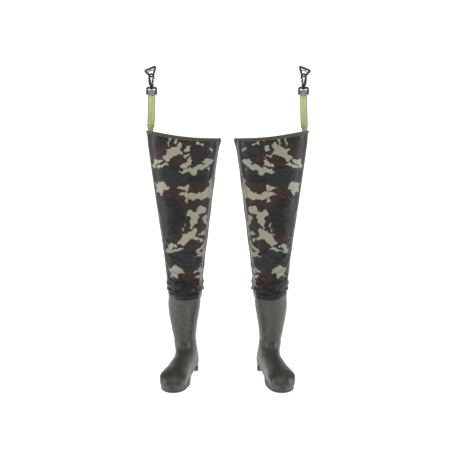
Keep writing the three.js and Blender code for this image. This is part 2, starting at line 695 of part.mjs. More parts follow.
// ---------------------------------------------------------------- one wader
// Built as the wearer's right one, with its outer side at -X. The left one is its mirror image.
function wader(side) {
  const group = new THREE.Group();
  const add = (parent, name, geometry, material) => {
    const mesh = new THREE.Mesh(geometry, material);
    mesh.name = `${side}_${name}`;
    parent.add(mesh);
  };
  add(group, "boot_upper", bootUpper(), pvcOlive);
  add(group, "boot_lining", bootLining(), knit);
  add(group, "insole", bend(insole(), () => {}), foam);
  add(group, "outsole", bend(outsole(), turnOut), pvcSole);
  add(group, "leg_shin", legShin(), camouflage);
  add(group, "leg_knee", legKnee(), camouflage);
  add(group, "leg_thigh", legThigh(), camouflage);
  add(group, "weld_band", weldBand(), camouflage);
  add(group, "hem_band", hemBand(), hemOlive);
  add(group, "strap_anchor", strapAnchor(), greyWeb);
  add(group, "strap_patch", strapPatch(), camouflage);

  const strapFrame = new THREE.Group();
  strapFrame.position.set(foldAt.x, foldAt.y, foldZ);
  add(strapFrame, "strap", strap(), lime);

  const hardware = new THREE.Group();
  hardware.position.set(0, -STRAP_THICK / 2, STRAP_LENGTH);
  add(hardware, "strap_loop", strapLoop(), acetal);

  const hook = new THREE.Group();
  hook.position.z = hookBase;
  hook.rotation.z = rad(HOOK_TURN);
  add(hook, "hook_body", hookBody(), acetal);
  add(hook, "gate", gate(), acetal);
  add(hook, "gate_pin", gatePin(), steel);
  add(hook, "gate_spring", gateSpring(), steel);
  hardware.add(hook);

  const ring = new THREE.Group();
  ring.position.z = hookBase + HOOK_REACH + HOOK_EYE + HOOK_STOCK / 2;
  ring.rotation.set(0, -rad(RING_TILT), rad(RING_TURN), "ZYX");
  add(ring, "belt_ring", beltRing(), acetal);
  hardware.add(ring);

  strapFrame.add(hardware);
  group.add(strapFrame);
  return group;
}

const pair = new THREE.Group();
const right = wader("right");
right.position.x = -LEG_SPACING / 2;
const left = wader("left");
left.position.x = LEG_SPACING / 2;
left.scale.x = -1;
pair.add(right, left);

// The origin lies on the floor under the middle of the pair.
const extent = new THREE.Box3().setFromObject(pair, true);
pair.position.y = -(extent.min.y + extent.max.y) / 2;

export default pair;
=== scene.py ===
# %% [markdown]
# # A pair of camouflage hip waders
#
# Hip waders are two rubber boots, each with a tall leg of coated fabric welded on, and a webbing strap that
# hangs the leg from the wearer's belt. This notebook builds the pair piece by piece in Blender. Each piece
# is a surface: a formula of two parameters, worked out for a whole grid of points at once with numpy, and
# then handed to Blender as a mesh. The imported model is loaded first. It fixes the size, and its bodies
# carry the pieces.

import math

import bpy
import numpy as np
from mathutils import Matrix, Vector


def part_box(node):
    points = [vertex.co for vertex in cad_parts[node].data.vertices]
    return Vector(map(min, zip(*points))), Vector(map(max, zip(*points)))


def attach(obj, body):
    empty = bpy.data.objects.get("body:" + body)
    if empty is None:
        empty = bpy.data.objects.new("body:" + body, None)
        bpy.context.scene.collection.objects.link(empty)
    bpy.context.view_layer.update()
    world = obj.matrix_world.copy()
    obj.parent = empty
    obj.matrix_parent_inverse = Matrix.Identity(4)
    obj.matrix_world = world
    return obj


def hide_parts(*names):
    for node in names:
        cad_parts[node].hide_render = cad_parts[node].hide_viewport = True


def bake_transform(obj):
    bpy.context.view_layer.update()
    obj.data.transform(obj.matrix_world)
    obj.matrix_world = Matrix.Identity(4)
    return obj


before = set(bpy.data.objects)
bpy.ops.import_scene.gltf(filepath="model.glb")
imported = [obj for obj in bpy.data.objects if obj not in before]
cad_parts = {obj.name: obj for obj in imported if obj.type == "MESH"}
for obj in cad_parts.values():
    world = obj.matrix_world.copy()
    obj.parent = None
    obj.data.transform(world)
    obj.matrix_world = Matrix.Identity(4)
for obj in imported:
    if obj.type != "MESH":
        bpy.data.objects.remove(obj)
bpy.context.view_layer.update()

# %% [markdown]
# ## The camera
#
# The camera comes first, so that every look at a half-built scene is already framed. It stands in front of
# the pair at the height of the leg's top and looks slightly down, so the soles hide and the boots' upper
# sides show. A longish lens keeps both legs upright, with little perspective between near and far parts.

# %% Camera
CAMERA_DISTANCE = 2.754  # from the leg's middle, in metres
CAMERA_HEIGHT = 0.850
CAMERA_TILT = 6.8  # degrees below the horizon
CAMERA_LENS = 61.9  # mm, on a 36 mm sensor

shin_low, shin_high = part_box("right_leg_shin")
band_low, band_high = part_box("right_weld_band")
leg_y = (shin_low.y + shin_high.y) / 2
spacing = -(band_low.x + band_high.x)

camera_data = bpy.data.cameras.new("camera")
camera_data.lens = CAMERA_LENS
camera = bpy.data.objects.new("camera", camera_data)
camera.location = (0.005, leg_y - CAMERA_DISTANCE, CAMERA_HEIGHT)
camera.rotation_euler = (math.radians(90 - CAMERA_TILT), 0, 0)
bpy.context.scene.collection.objects.link(camera)
bpy.context.scene.camera = camera
print(f"legs {spacing:.3f} m apart, their middle at y = {leg_y:.4f} m")

# %% [markdown]
# ## Helpers for surfaces
#
# Almost every piece is a grid of points. `skin` closes such a grid into a mesh: it may wrap round in either
# direction, and open ends may be closed by a fan of triangles. Working with whole arrays is fast, and the
# same few lines serve the leg, the boot, the strap and the hook.

# %% Grid to mesh
MM = 0.001


def grid_faces(rows, columns, wrap_rows=False, wrap_columns=True):
    """Quads between neighbouring points of a rows x columns grid, which may wrap round in both directions."""
    i = np.arange(rows if wrap_rows else rows - 1)
    j = np.arange(columns if wrap_columns else columns - 1)
    i, j = [a.ravel() for a in np.meshgrid(i, j, indexing="ij")]
    k, m = (i + 1) % rows, (j + 1) % columns
    return np.stack([i * columns + j, i * columns + m, k * columns + m, k * columns + j], 1)


def skin(points, wrap_rows=False, wrap_columns=True, cap=True):
    """(vertices, list of faces) of a grid of points; open ends of a tube get a fan to their middle."""
    rows, columns = points.shape[:2]
    vertices = points.reshape(-1, 3)
    faces = grid_faces(rows, columns, wrap_rows, wrap_columns).tolist()
    if cap and wrap_columns and not wrap_rows:
        for row, flip in ((0, False), (rows - 1, True)):
            hub = len(vertices)
            vertices = np.vstack([vertices, points[row].mean(0)])
            start = row * columns
            for j in range(columns):
                a, b = start + j, start + (j + 1) % columns
                faces.append([hub, a, b] if flip else [hub, b, a])
    return vertices, faces


def signed_volume(vertices, faces):
    """Six times the volume, from the fans of all faces. It is negative when the faces point inwards."""
    tris = [(f[0], f[n], f[n + 1]) for f in faces for n in range(1, len(f) - 1)]
    a, b, c = vertices[np.array(tris).T]
    return float(np.einsum("ij,ij->", a, np.cross(b, c)))


def join_parts(parts):
    """Several closed (vertices, faces) shapes as one, each turned to face outwards."""
    all_vertices, all_faces, start = [], [], 0
    for vertices, faces in parts:
        if signed_volume(vertices, faces) < 0:
            faces = [f[::-1] for f in faces]
        all_faces += [[i + start for i in f] for f in faces]
        all_vertices.append(vertices)
        start += len(vertices)
    return np.vstack(all_vertices), all_faces


def length_along(line):
    """The distance from a line's first point to each of its points, measured along the line."""
    return np.concatenate([[0], np.cumsum(np.linalg.norm(np.diff(line, axis=0), axis=-1))])


print("a tube of 3 rings of 8 points has", len(grid_faces(3, 8)), "quads")

# %% [markdown]
# ## Right and left
#
# The two waders are mirror images. Each piece is worked out once, for the wearer's right leg, with the
# origin on the floor under the boot's shaft and the outer side at minus X. `make` then puts it in place, or
# mirrors it: it changes the sign of X and turns every face round, because a mirrored face would point
# inwards.

# %% Piece maker
SIDES = {"right": -1, "left": 1}


def place(points, side, lift):
    """From the right leg's own coordinates to the frame: shift, lift by some millimetres, mirror if left."""
    moved = points * MM + [-spacing / 2, leg_y, lift * MM]
    return moved if side == "right" else moved * [-1, 1, 1]


LEG_LIFT = 10  # mm; all heights from the weld up to the ring are given this much lower than they stand


def make(name, shape, side, material, body, smooth=True, attributes=None, lift=LEG_LIFT):
    """A mesh object from a shape in the right leg's millimetres, placed for its side and riding on a body."""
    vertices, faces = shape
    if side == "left":
        faces = [f[::-1] for f in faces]
    mesh = bpy.data.meshes.new(f"{side}_{name}")
    mesh.from_pydata(place(vertices, side, lift).tolist(), [], faces)
    mesh.validate()
    for key, values in (attributes or {}).items():
        layer = mesh.attributes.new(key, "FLOAT", "POINT")
        layer.data.foreach_set("value", np.asarray(values, np.float32))
    mesh.polygons.foreach_set("use_smooth", np.full(len(mesh.polygons), smooth))
    piece = bpy.data.objects.new(f"{side}_{name}", mesh)
    bpy.context.scene.collection.objects.link(piece)
    for m in material if isinstance(material, list) else [material]:
        mesh.materials.append(m)
    if body:
        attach(piece, f"{side}_{body}")
    return piece


print("the right leg's own origin stands at", place(np.zeros(3), "right", 0).round(3).tolist())

# %% [markdown]
# ## Helpers for materials
#
# A finish is a small network of shader nodes. `add_node` makes one node, sets its values and joins its
# inputs, so a finish reads as a list of steps. Colours are written as the hex values an artist would pick,
# and one function turns them into the linear values that Blender computes with.

# %% Nodes and colours
def linear(hex_colour):
    """An sRGB hex colour as linear red, green, blue and alpha."""
    srgb = [int(hex_colour[i : i + 2], 16) / 255 for i in (1, 3, 5)]
    return [c / 12.92 if c <= 0.04045 else ((c + 0.055) / 1.055) ** 2.4 for c in srgb] + [1.0]


def add_node(tree, kind, inputs=None, **settings):
    """One shader node. An input is a value, or another node's output socket, which is linked to it."""
    node = tree.nodes.new(kind)
    for key, value in settings.items():
        setattr(node, key, value)
    for key, value in (inputs or {}).items():
        if isinstance(value, bpy.types.NodeSocket):
            tree.links.new(value, node.inputs[key])
        else:
            node.inputs[key].default_value = value
    return node


def new_finish(name, **values):
    """(material, its node tree, its Principled shader) with constants set on the shader's own sockets."""
    material = bpy.data.materials.new(name)
    material.use_nodes = True
    shader = material.node_tree.nodes["Principled BSDF"]
    for key, value in values.items():
        shader.inputs[key.replace("_", " ")].default_value = value
    return material, material.node_tree, shader


def noise(tree, scale, detail=2.0, vector=None, roughness=0.5):
    """A noise output whose blotches are about 1 / scale metres across."""
    where = vector or object_place(tree)
    settings = {"Vector": where, "Scale": scale, "Detail": detail, "Roughness": roughness}
    return add_node(tree, "ShaderNodeTexNoise", settings).outputs["Fac"]


def maths(tree, operation, *values):
    """The output of one Math node on one to three values or sockets."""
    return add_node(tree, "ShaderNodeMath", dict(enumerate(values)), operation=operation).outputs[0]


def ramp(tree, value, low, high, to_low=0.0, to_high=1.0):
    """value taken from low..high to to_low..to_high, and held there outside."""
    inputs = {"Value": value, "From Min": low, "From Max": high, "To Min": to_low, "To Max": to_high}
    return add_node(tree, "ShaderNodeMapRange", inputs).outputs["Result"]


def blend_colours(tree, share, first, second, mode="MIX"):
    """first where share is 0, second where it is 1."""
    node = add_node(tree, "ShaderNodeMix", data_type="RGBA", blend_type=mode, clamp_factor=True)
    for socket, value in ((0, share), (6, first), (7, second)):
        if isinstance(value, bpy.types.NodeSocket):
            tree.links.new(value, node.inputs[socket])
        else:
            node.inputs[socket].default_value = value
    return node.outputs[2]


def bumps(tree, shader, *layers):
    """Height maps, each (height, depth in metres), laid over each other into the shader's normal."""
    normal = None
    for height, depth in layers:
        inputs = {"Height": height, "Distance": depth, "Strength": 1.0}
        if normal:
            inputs["Normal"] = normal
        normal = add_node(tree, "ShaderNodeBump", inputs).outputs["Normal"]
    tree.links.new(normal, shader.inputs["Normal"])


def field(tree, name):
    """A number kept on the mesh's points."""
    return add_node(tree, "ShaderNodeAttribute", attribute_name=name).outputs["Fac"]


def object_place(tree):
    """Where the shaded point lies, in metres. The patterns are laid out in it, so that their size is real."""
    return add_node(tree, "ShaderNodeTexCoord").outputs["Object"]


print("mid grey as Blender computes with it:", [round(c, 3) for c in linear("#808080")])

# %% [markdown]
# ## Finish: coated camouflage fabric
#
# The leg is nylon cloth with a calendered PVC skin, printed in four colours. The skin is semi-gloss, so it
# shows long soft highlights, with a faint grain from the cloth below. The print could be a procedural
# pattern, but real camouflage has drawn shapes with sharp points, and noise never makes those. So the
# shapes are drawn as outlines further down, and each point of the mesh keeps its distance from the nearest
# outline of each colour. The shader only compares that distance with zero, after a little noise that
# roughens the printed edge.

# %% Camouflage finish
SAND, GREEN, BROWN, BLACK = "#93917E", "#1B2221", "#2E1C19", "#131214"


def printed(tree, name, softness=0.7, wobble=2.4):
    """1 inside the printed shapes of one colour; the edge wanders by a millimetre or two."""
    fine = maths(tree, "SUBTRACT", noise(tree, 260, 3), 0.5)
    broad = maths(tree, "SUBTRACT", noise(tree, 62, 2), 0.5)
    edge = maths(tree, "MULTIPLY_ADD", fine, wobble * 2, field(tree, name))
    edge = maths(tree, "MULTIPLY_ADD", broad, wobble * 5, edge)
    return ramp(tree, edge, -softness, softness)


def camouflage_finish():
    """Four printed colours under a thin semi-gloss skin, with crinkles where the leg is bunched up."""
    settings = {"IOR": 1.32, "Coat_Weight": 0.08, "Coat_Roughness": 0.22}
    material, tree, shader = new_finish("camouflage PVC-coated nylon", **settings)
    colour = blend_colours(tree, printed(tree, "black", 2.0), linear(GREEN), linear(BLACK))
    colour = blend_colours(tree, printed(tree, "brown", 1.4), colour, linear(BROWN))
    colour = blend_colours(tree, printed(tree, "sand"), colour, linear(SAND))
    # Ink takes unevenly on the cloth's grain, and the print fades a little over large areas.
    speckle = ramp(tree, noise(tree, 900, 1), 0.35, 0.65, 0.82, 1.12)
    cloud = ramp(tree, noise(tree, 9, 2), 0.3, 0.7, 0.88, 1.1)
    both = maths(tree, "MULTIPLY", speckle, cloud)
    shade = add_node(tree, "ShaderNodeCombineColor", {"Red": both, "Green": both, "Blue": both}).outputs[0]
    colour = blend_colours(tree, 1.0, colour, shade, "MULTIPLY")
    # Beside the seam the skin is paler: partly whitening from the weld's heat, partly a painted highlight along
    # the inner edge.
    uneven = ramp(tree, noise(tree, 24, 3), 0.3, 0.7, 0.4, 0.85)
    seam_whitening_and_painted_highlight = maths(tree, "MULTIPLY", field(tree, "seam"), uneven)
    colour = blend_colours(tree, seam_whitening_and_painted_highlight, colour, linear("#8F8784"))
    tree.links.new(colour, shader.inputs["Base Color"])
    tree.links.new(ramp(tree, noise(tree, 35, 3), 0.3, 0.7, 0.3, 0.46), shader.inputs["Roughness"])
    wave = {"Vector": object_place(tree), "Scale": 420.0}
    cloth = add_node(tree, "ShaderNodeTexWave", wave, bands_direction="Z").outputs["Fac"]
    # Where the leg is bunched up, sharp crinkles run through it: the thin ridges of a stretched noise.
    stretch = {"Vector": object_place(tree), "Scale": (1.0, 1.0, 1.7), "Rotation": (0.0, 0.5, 0.0)}
    stretched = add_node(tree, "ShaderNodeMapping", stretch).outputs[0]
    fold = maths(tree, "ABSOLUTE", maths(tree, "SUBTRACT", noise(tree, 27, 2, stretched), 0.5))
    crinkle = maths(tree, "MULTIPLY", ramp(tree, fold, 0.11, 0.0), field(tree, "slack"))
    dents, grain = (noise(tree, 60, 4), 0.0009), (noise(tree, 700, 1), 0.00012)
    bumps(tree, shader, (crinkle, 0.0042), dents, grain, (cloth, 0.00004))
    return material


def backing_finish():
    """The leg's inside: bare knitted nylon, matte and grey-green."""
    material, tree, shader = new_finish("nylon cloth backing", Roughness=0.85, Sheen_Weight=0.25)
    mottled = ramp(tree, noise(tree, 500, 2), 0.3, 0.7)
    colour = blend_colours(tree, mottled, linear("#3A3F3B"), linear("#4C524C"))
    tree.links.new(colour, shader.inputs["Base Color"])
    bumps(tree, shader, (noise(tree, 800, 2), 0.0002))
    return material


camouflage = camouflage_finish()
backing = backing_finish()
print("finishes:", camouflage.name, "and", backing.name)

# %% [markdown]
# ## Finishes: moulded PVC, rubber, tape, webbing, plastic and steel
#
# The boot is injection-moulded PVC: olive grey, satin, with broad soft highlights and slight scuffs. The
# outsole is a harder and darker compound with a dull surface. The hem is a woven tape, the strap is woven
# webbing, grey along its edges, and the hook and its ring are acetal, the glossy black plastic of most snap
# hooks.

# %% Boot, sole and small finishes
def boot_finish():
    """Olive grey PVC with faint clouds, a little pale dust, and scuffs that change how glossy it is."""
    material, tree, shader = new_finish("moulded olive PVC", IOR=1.5, Coat_Weight=0.16, Coat_Roughness=0.3)
    cloud = ramp(tree, noise(tree, 14, 3), 0.3, 0.7)
    colour = blend_colours(tree, cloud, linear("#37352F"), linear("#413E38"))
    dust = ramp(tree, noise(tree, 55, 4), 0.56, 0.78, 0.0, 0.22)
    colour = blend_colours(tree, dust, colour, linear("#7C7871"))
    tree.links.new(colour, shader.inputs["Base Color"])
    tree.links.new(ramp(tree, noise(tree, 40, 4), 0.3, 0.75, 0.36, 0.54), shader.inputs["Roughness"])
    bumps(tree, shader, (noise(tree, 45, 3), 0.0006), (noise(tree, 1500, 2), 0.00006))
    return material


def plain_finish(name, dark, light, roughness, grain, depth, **values):
    """A moulded or woven finish with two close shades, a roughness range and a fine grain of a real size."""
    material, tree, shader = new_finish(name, **values)
    shades = ramp(tree, noise(tree, grain / 8, 3), 0.3, 0.7)
    tree.links.new(blend_colours(tree, shades, linear(dark), linear(light)), shader.inputs["Base Color"])
    spread = ramp(tree, noise(tree, grain / 4, 2), 0.3, 0.7, roughness - 0.06, roughness + 0.08)
    tree.links.new(spread, shader.inputs["Roughness"])
    bumps(tree, shader, (noise(tree, grain, 2), depth))
    return material


boot_pvc = boot_finish()
sole_rubber = plain_finish("cleated sole rubber", "#262526", "#343235", 0.6, 1200, 0.0001, IOR=1.52)
knit_lining = plain_finish("knitted boot lining", "#8A8A86", "#9C9C97", 0.92, 700, 0.0004, Sheen_Weight=0.4)
insole_felt = plain_finish("felted insole", "#34353A", "#44454A", 0.95, 900, 0.0003, Sheen_Weight=0.3)
acetal = plain_finish("moulded black acetal", "#070708", "#0D0D0E", 0.36, 900, 0.00004, IOR=1.4)
steel = plain_finish("plain spring steel", "#8C8C8E", "#A5A5A8", 0.3, 1500, 0.00002, Metallic=1.0)
thread = plain_finish("polyester thread", "#3F4430", "#51563F", 0.7, 2000, 0.0001)
grey_thread = plain_finish("grey polyester thread", "#9A9AA0", "#B4B4BA", 0.7, 2000, 0.0001)


def tape_finish():
    """Hem binding: an olive tape with a fine diagonal rib from its twill weave, 1.2 mm apart."""
    material, tree, shader = new_finish("woven olive hem tape", Roughness=0.72, Sheen_Weight=0.2)
    along, across = field(tree, "along"), field(tree, "across")
    slant = maths(tree, "ADD", along, across)
    rib = maths(tree, "SINE", maths(tree, "MULTIPLY", slant, 2 * math.pi / 1.2))
    colour = blend_colours(tree, ramp(tree, rib, -1, 1), linear("#262A1E"), linear("#454B36"))
    tree.links.new(colour, shader.inputs["Base Color"])
    bumps(tree, shader, (rib, 0.00012))
    return material


def webbing_finish():
    """Strap webbing: lime with grey along its edges, ribs 1.6 mm apart, and woven marks down the middle."""
    material, tree, shader = new_finish("lime polypropylene webbing", Roughness=0.62, Sheen_Weight=0.3)
    along, across = field(tree, "along"), field(tree, "across")
    rib = maths(tree, "SINE", maths(tree, "MULTIPLY", along, 2 * math.pi / 1.6))
    warp = maths(tree, "SINE", maths(tree, "MULTIPLY", across, 2 * math.pi / 1.3))
    weave = maths(tree, "MULTIPLY", rib, warp)
    shades = ramp(tree, maths(tree, "ADD", weave, noise(tree, 600, 2)), -0.8, 1.6)
    colour = blend_colours(tree, shades, linear("#9DAD5C"), linear("#C2D184"))
    # Plain slanted bars, 9 mm apart, down the middle third of the strap.
    bars = maths(tree, "SINE", maths(tree, "MULTIPLY", maths(tree, "ADD", along, across), 2 * math.pi / 9))
    middle = ramp(tree, maths(tree, "ABSOLUTE", across), 4.2, 3.4)
    marks = maths(tree, "MULTIPLY", maths(tree, "MULTIPLY", ramp(tree, bars, 0.2, 0.5), middle), 0.4)
    colour = blend_colours(tree, marks, colour, linear("#6F7F38"))
    # Dark grey along the outer edge with a pale stripe beside it, and pale grey along the inner edge.
    pale = ramp(tree, across, -6.2, -7.0)
    outer, inner = ramp(tree, across, -9.4, -10.0), ramp(tree, across, 8.6, 9.4)
    colour = blend_colours(tree, pale, colour, linear("#B9C39B"))
    colour = blend_colours(tree, inner, colour, linear("#9DA58C"))
    colour = blend_colours(tree, outer, colour, linear("#4C4F4A"))
    # The folded end is bound in grey.
    colour = blend_colours(tree, field(tree, "bound"), colour, linear("#77777E"))
    tree.links.new(colour, shader.inputs["Base Color"])
    bumps(tree, shader, (weave, 0.00018), (noise(tree, 1500, 2), 0.0001))
    return material


hem_tape, webbing = tape_finish(), webbing_finish()
print("finishes made:", len(bpy.data.materials))

# %% [markdown]
# ## The boot's shape
#
# A boot is a bent tube: round at the rim, narrow at the ankle, then turning forwards into the foot. It
# could be modelled by hand with subdivision, but a formula keeps the thin lining, the outsole and the leg
# in step with it. The formula is a row of sections from the rim, round the heel, to the toe. Each section
# lies between a front point and a back point of the side view, and has its own width and roundness.

# %% Boot sections
# Front y, front z, back y, back z, width, sideways shift, exponent of the lower half. Millimetres.
BOOT_SECTIONS = np.array(
    [
        [-69, 310, 69, 310, 116, 0, 2],
        [-66, 255, 69, 255, 114, -3.5, 2],
        [-60, 208, 66, 208, 101, -5, 2],
        [-53, 165, 61, 163, 87.5, -4.5, 2],
        [-50, 135, 59, 122, 77, -3, 2],
        [-55, 114, 66, 80, 75, 0, 2.2],
        [-67, 102, 71, 46, 75, 3, 3],
        [-86, 92, 65, 18, 77, 3, 4],
        [-110, 83, 28, 13, 77, -2, 5],
        [-138, 75, -40, 13, 81, -4, 6],
        [-166, 69, -110, 13, 89, -7, 6],
        [-190, 62, -160, 13, 93, -7.5, 6],
        [-210, 53, -202, 14, 79, -5, 6],
        [-225, 40, -222, 15, 55, -3, 6],
        [-232, 30, -231.5, 18, 26, -1.5, 5],
    ],
    float,
)
TOE_Y = -232
TOE_OUT = 8  # degrees


def ease(x, low, high):
    """0 below low, 1 above high, and a smooth S between."""
    t = np.clip((x - low) / (high - low), 0, 1)
    return t * t * (3 - 2 * t)


def mix(a, b, share):
    """a where share is 0, b where it is 1."""
    return a + (b - a) * share


def through(rows, s):
    """Catmull-Rom line through evenly spaced rows of numbers, at places s from 0 to 1."""
    at = np.clip(s, 0, 1) * (len(rows) - 1)
    i = np.minimum(at.astype(int), len(rows) - 2)
    t = (at - i)[..., None]
    a, b, c, d = (rows[np.clip(i + k, 0, len(rows) - 1)] for k in (-1, 0, 1, 2))
    return b + 0.5 * t * (c - a + t * (2 * a - 5 * b + 4 * c - d + t * (3 * (b - c) + d - a)))


def oval(t, a, b, n):
    """A superellipse: sideways a and endways b, boxier as n grows above 2."""
    c, s = np.cos(t), np.sin(t)
    return a * np.sign(c) * np.abs(c) ** (2 / n), b * np.sign(s) * np.abs(s) ** (2 / n)


def turn_out(points):
    """The foot turns outwards below the ankle: an angle about the upright axis that fades with height."""
    angle = -np.radians(TOE_OUT) * (1 - ease(points[..., 2], 130, 250))
    x, y = points[..., 0], points[..., 1]
    turned = [x * np.cos(angle) - y * np.sin(angle), x * np.sin(angle) + y * np.cos(angle), points[..., 2]]
    return np.stack(turned, -1)


def boot_surface(s, t, inset=0.0, relief=None):
    """Points of the boot at section place s and angle t: middle + up * a * cos t + side * b * sin t, where a
    and b are half the section's length and half its width, less the inset."""
    front_y, front_z, back_y, back_z, wide, shift, square = np.moveaxis(through(BOOT_SECTIONS, s), -1, 0)
    up = np.stack([np.zeros_like(s), front_y - back_y, front_z - back_z], -1)
    length = np.linalg.norm(up, axis=-1)
    up = up / length[..., None]
    middle_y = (front_y + back_y) / 2 + inset * ease(s, 0.7, 0.95)
    middle = np.stack([shift, middle_y, (front_z + back_z) / 2], -1)
    outward = -inset * np.ones_like(t)
    for _ in range(2 if relief else 1):
        along, side = oval(t, 1, 1, np.where(np.cos(t) < 0, square, 2.1))
        points = middle + up * (along * (length / 2 + outward))[..., None]
        points = points + (side * (wide / 2 + outward))[..., None] * [1, 0, 0]
        if relief and inset == 0:
            outward = relief(points)
    return turn_out(points)


def boot_relief(p):
    """Moulded detail as a height over the plain boot: a rand above the sole, a toe cap, a heel counter behind
    a slanted line, ribs at the heel, and soft creases where the ankle bends."""
    x, y, z = p[..., 0], p[..., 1], p[..., 2]
    rand = 1.3 * (1 - ease(z, 26, 28.5))
    cap = 0.6 * (1 - ease(y - 0.006 * x * x, TOE_Y + 50, TOE_Y + 56)) * ease(z, 18, 26)
    behind = (y - 28) * 0.72 + (z - 60) * 0.69
    counter = 1.1 * ease(behind, -1.5, 1.5) * (1 - ease(behind, 62, 66)) * (1 - ease(z, 118, 126))
    ribs = 0.45 * np.sin(z * 2 * np.pi / 5) * ease(y, 30, 40) * (1 - ease(z, 44, 48)) * ease(z, 28, 32)
    crease = np.zeros_like(x)
    for height, depth, wide in ((110, 0.7, 6), (127, 1.0, 8), (146, 0.6, 8), (168, 0.4, 10)):
        line = height + 0.10 * (y + 40) + 3 * np.sin(x * 0.09 + height)
        crease -= depth * np.exp(-(((z - line) / wide) ** 2)) * (1 - ease(y, -30, 25))
    swell = 0.8 * np.sin(z * 0.045 + 1) * np.cos(np.arctan2(x, y) * 2) * ease(z, 150, 200)
    return rand + cap + counter + ribs + crease + swell


def boot_grid(rows, columns, first, last, inset, relief=None):
    """Rings of the boot from place first to place last, closer together at the toe."""
    s = mix(first, last, np.linspace(0, 1, rows) ** 0.9)
    t = np.arange(columns) / columns * 2 * np.pi
    s, t = np.meshgrid(s, t, indexing="ij")
    return boot_surface(s, t, inset, relief)


def boot_shell(rows, columns, insets, top, ends, relief=None):
    """A wall between an outer and an inner inset, open at the rim, whose surfaces end at places near the toe:
    the inner surface from the toe up, then the outer one down."""
    inside = boot_grid(rows, columns, top, ends[1], insets[1])[::-1]
    outside = boot_grid(rows, columns, top, ends[0], insets[0], relief)
    return skin(np.concatenate([inside, outside]))


upper = boot_shell(170, 112, insets=(0.0, 3.0), top=0.0, ends=(1.0, 0.985), relief=boot_relief)
lining = boot_shell(70, 56, insets=(3.3, 4.3), top=0.0035, ends=(0.975, 0.97))
for side in SIDES:
    piece = make("boot_upper_moulded", join_parts([upper]), side, boot_pvc, "wader", lift=0)
    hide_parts(f"{side}_boot_upper")
    piece = make("boot_lining_knit", join_parts([lining]), side, knit_lining, "wader", lift=0)
    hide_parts(f"{side}_boot_lining")
print("boot faces:", len(upper[1]), "lining faces:", len(lining[1]))

# %% [markdown]
# ## The leg's surface
#
# The leg is a fabric tube: narrow where it is welded over the boot, widening to the hem, which slopes down
# towards the inner side. Its plain shape is a stack of rounded sections. The folds are then added as small
# pushes in and out along the surface. A cloth simulation would also fold it, but a welded PVC leg keeps the
# same few creases, so placing them one by one gives the right ones and costs no time.

# %% Leg surface
LEG_LOW, KNEE_LOW, KNEE_HIGH = 273, 400, 560
HEM_OUTER, HEM_INNER, HEM_MIDDLE, HEM_SAG, HEM_WIDTH = 855, 828, 850.0, 8.5, 256
LEG_ROWS, LEG_COLUMNS = 236, 190
CREASE_DEPTH = 1.5  # all folds together are made deeper or shallower with this


def hem_height(x):
    """Height of the leg's top edge at sideways place x: it slopes and sags a little."""
    k = np.clip(x / HEM_WIDTH + 0.5, 0, 1)
    return mix(HEM_OUTER, HEM_INNER, k) - HEM_SAG * np.sin(math.pi * k)


def leg_section(z):
    """Half width, half depth, middle x and y, and squareness of the leg at height z."""
    free = ease(z, LEG_LOW + 12, LEG_LOW + 72)
    up = np.clip((z - 345) / 510, 0, 1)
    wide = np.interp(up, [0, 135 / 510, 1], [61.5, 78.6, 127])
    a = mix(60.1 - (300 - z) * 0.1375, wide, free)
    b = mix(71.1 - (300 - z) * 0.073, 72 + 2 * up, free)
    return a, b, -2.5 * up - 2 * (1 - up) * free, (300 - z) * 0.031 * (1 - free), mix(2, 2.3, free)


def leg_plain(t, z):
    """(points, outward directions) of the plain leg: a superellipse at angle t, which is 0 on the inner side
    and 90 degrees at the back."""
    a, b, x, y, n = leg_section(z)
    across, deep = oval(t, a, b, n)
    ahead_x, ahead_y = oval(t + 0.01, a, b, n)
    out = np.stack([ahead_y - deep, across - ahead_x, np.zeros_like(across)], -1)
    out = out / np.maximum(np.linalg.norm(out, axis=-1, keepdims=True), 1e-9)
    return np.stack([x + across, y + deep, z + 0 * across], -1), out


def hem_at(t):
    """Height of the hem at angle t about the leg."""
    at_hem, _ = leg_plain(t, np.full_like(t, HEM_MIDDLE))
    return hem_height(at_hem[..., 0])


def crease(x, z, line, height, wide):
    """A fold along a broken line: a ridge above it and a groove below, both fading out all round."""
    push = np.zeros_like(x)
    length = sum(math.dist(p, q) for p, q in zip(line, line[1:]))
    done = 0.0
    best = np.full_like(x, 1e9)
    for (x0, z0), (x1, z1) in zip(line, line[1:]):
        piece = math.dist((x0, z0), (x1, z1))
        ux, uz = (x1 - x0) / piece, (z1 - z0) / piece
        along = np.clip((x - x0) * ux + (z - z0) * uz, 0, piece)
        off_x, off_z = x - x0 - along * ux, z - z0 - along * uz
        away = np.hypot(off_x, off_z)
        side = np.sign(off_z * ux - off_x * uz) * away / wide
        place_on = (done + along) / length
        fade = np.sin(math.pi * np.clip(place_on * 0.9 + 0.05, 0, 1)) ** 0.7
        here = height * fade * (0.45 + side) * np.exp(-(side**2))
        push = np.where(away < best, here, push)
        best = np.minimum(best, away)
        done += piece
    return push


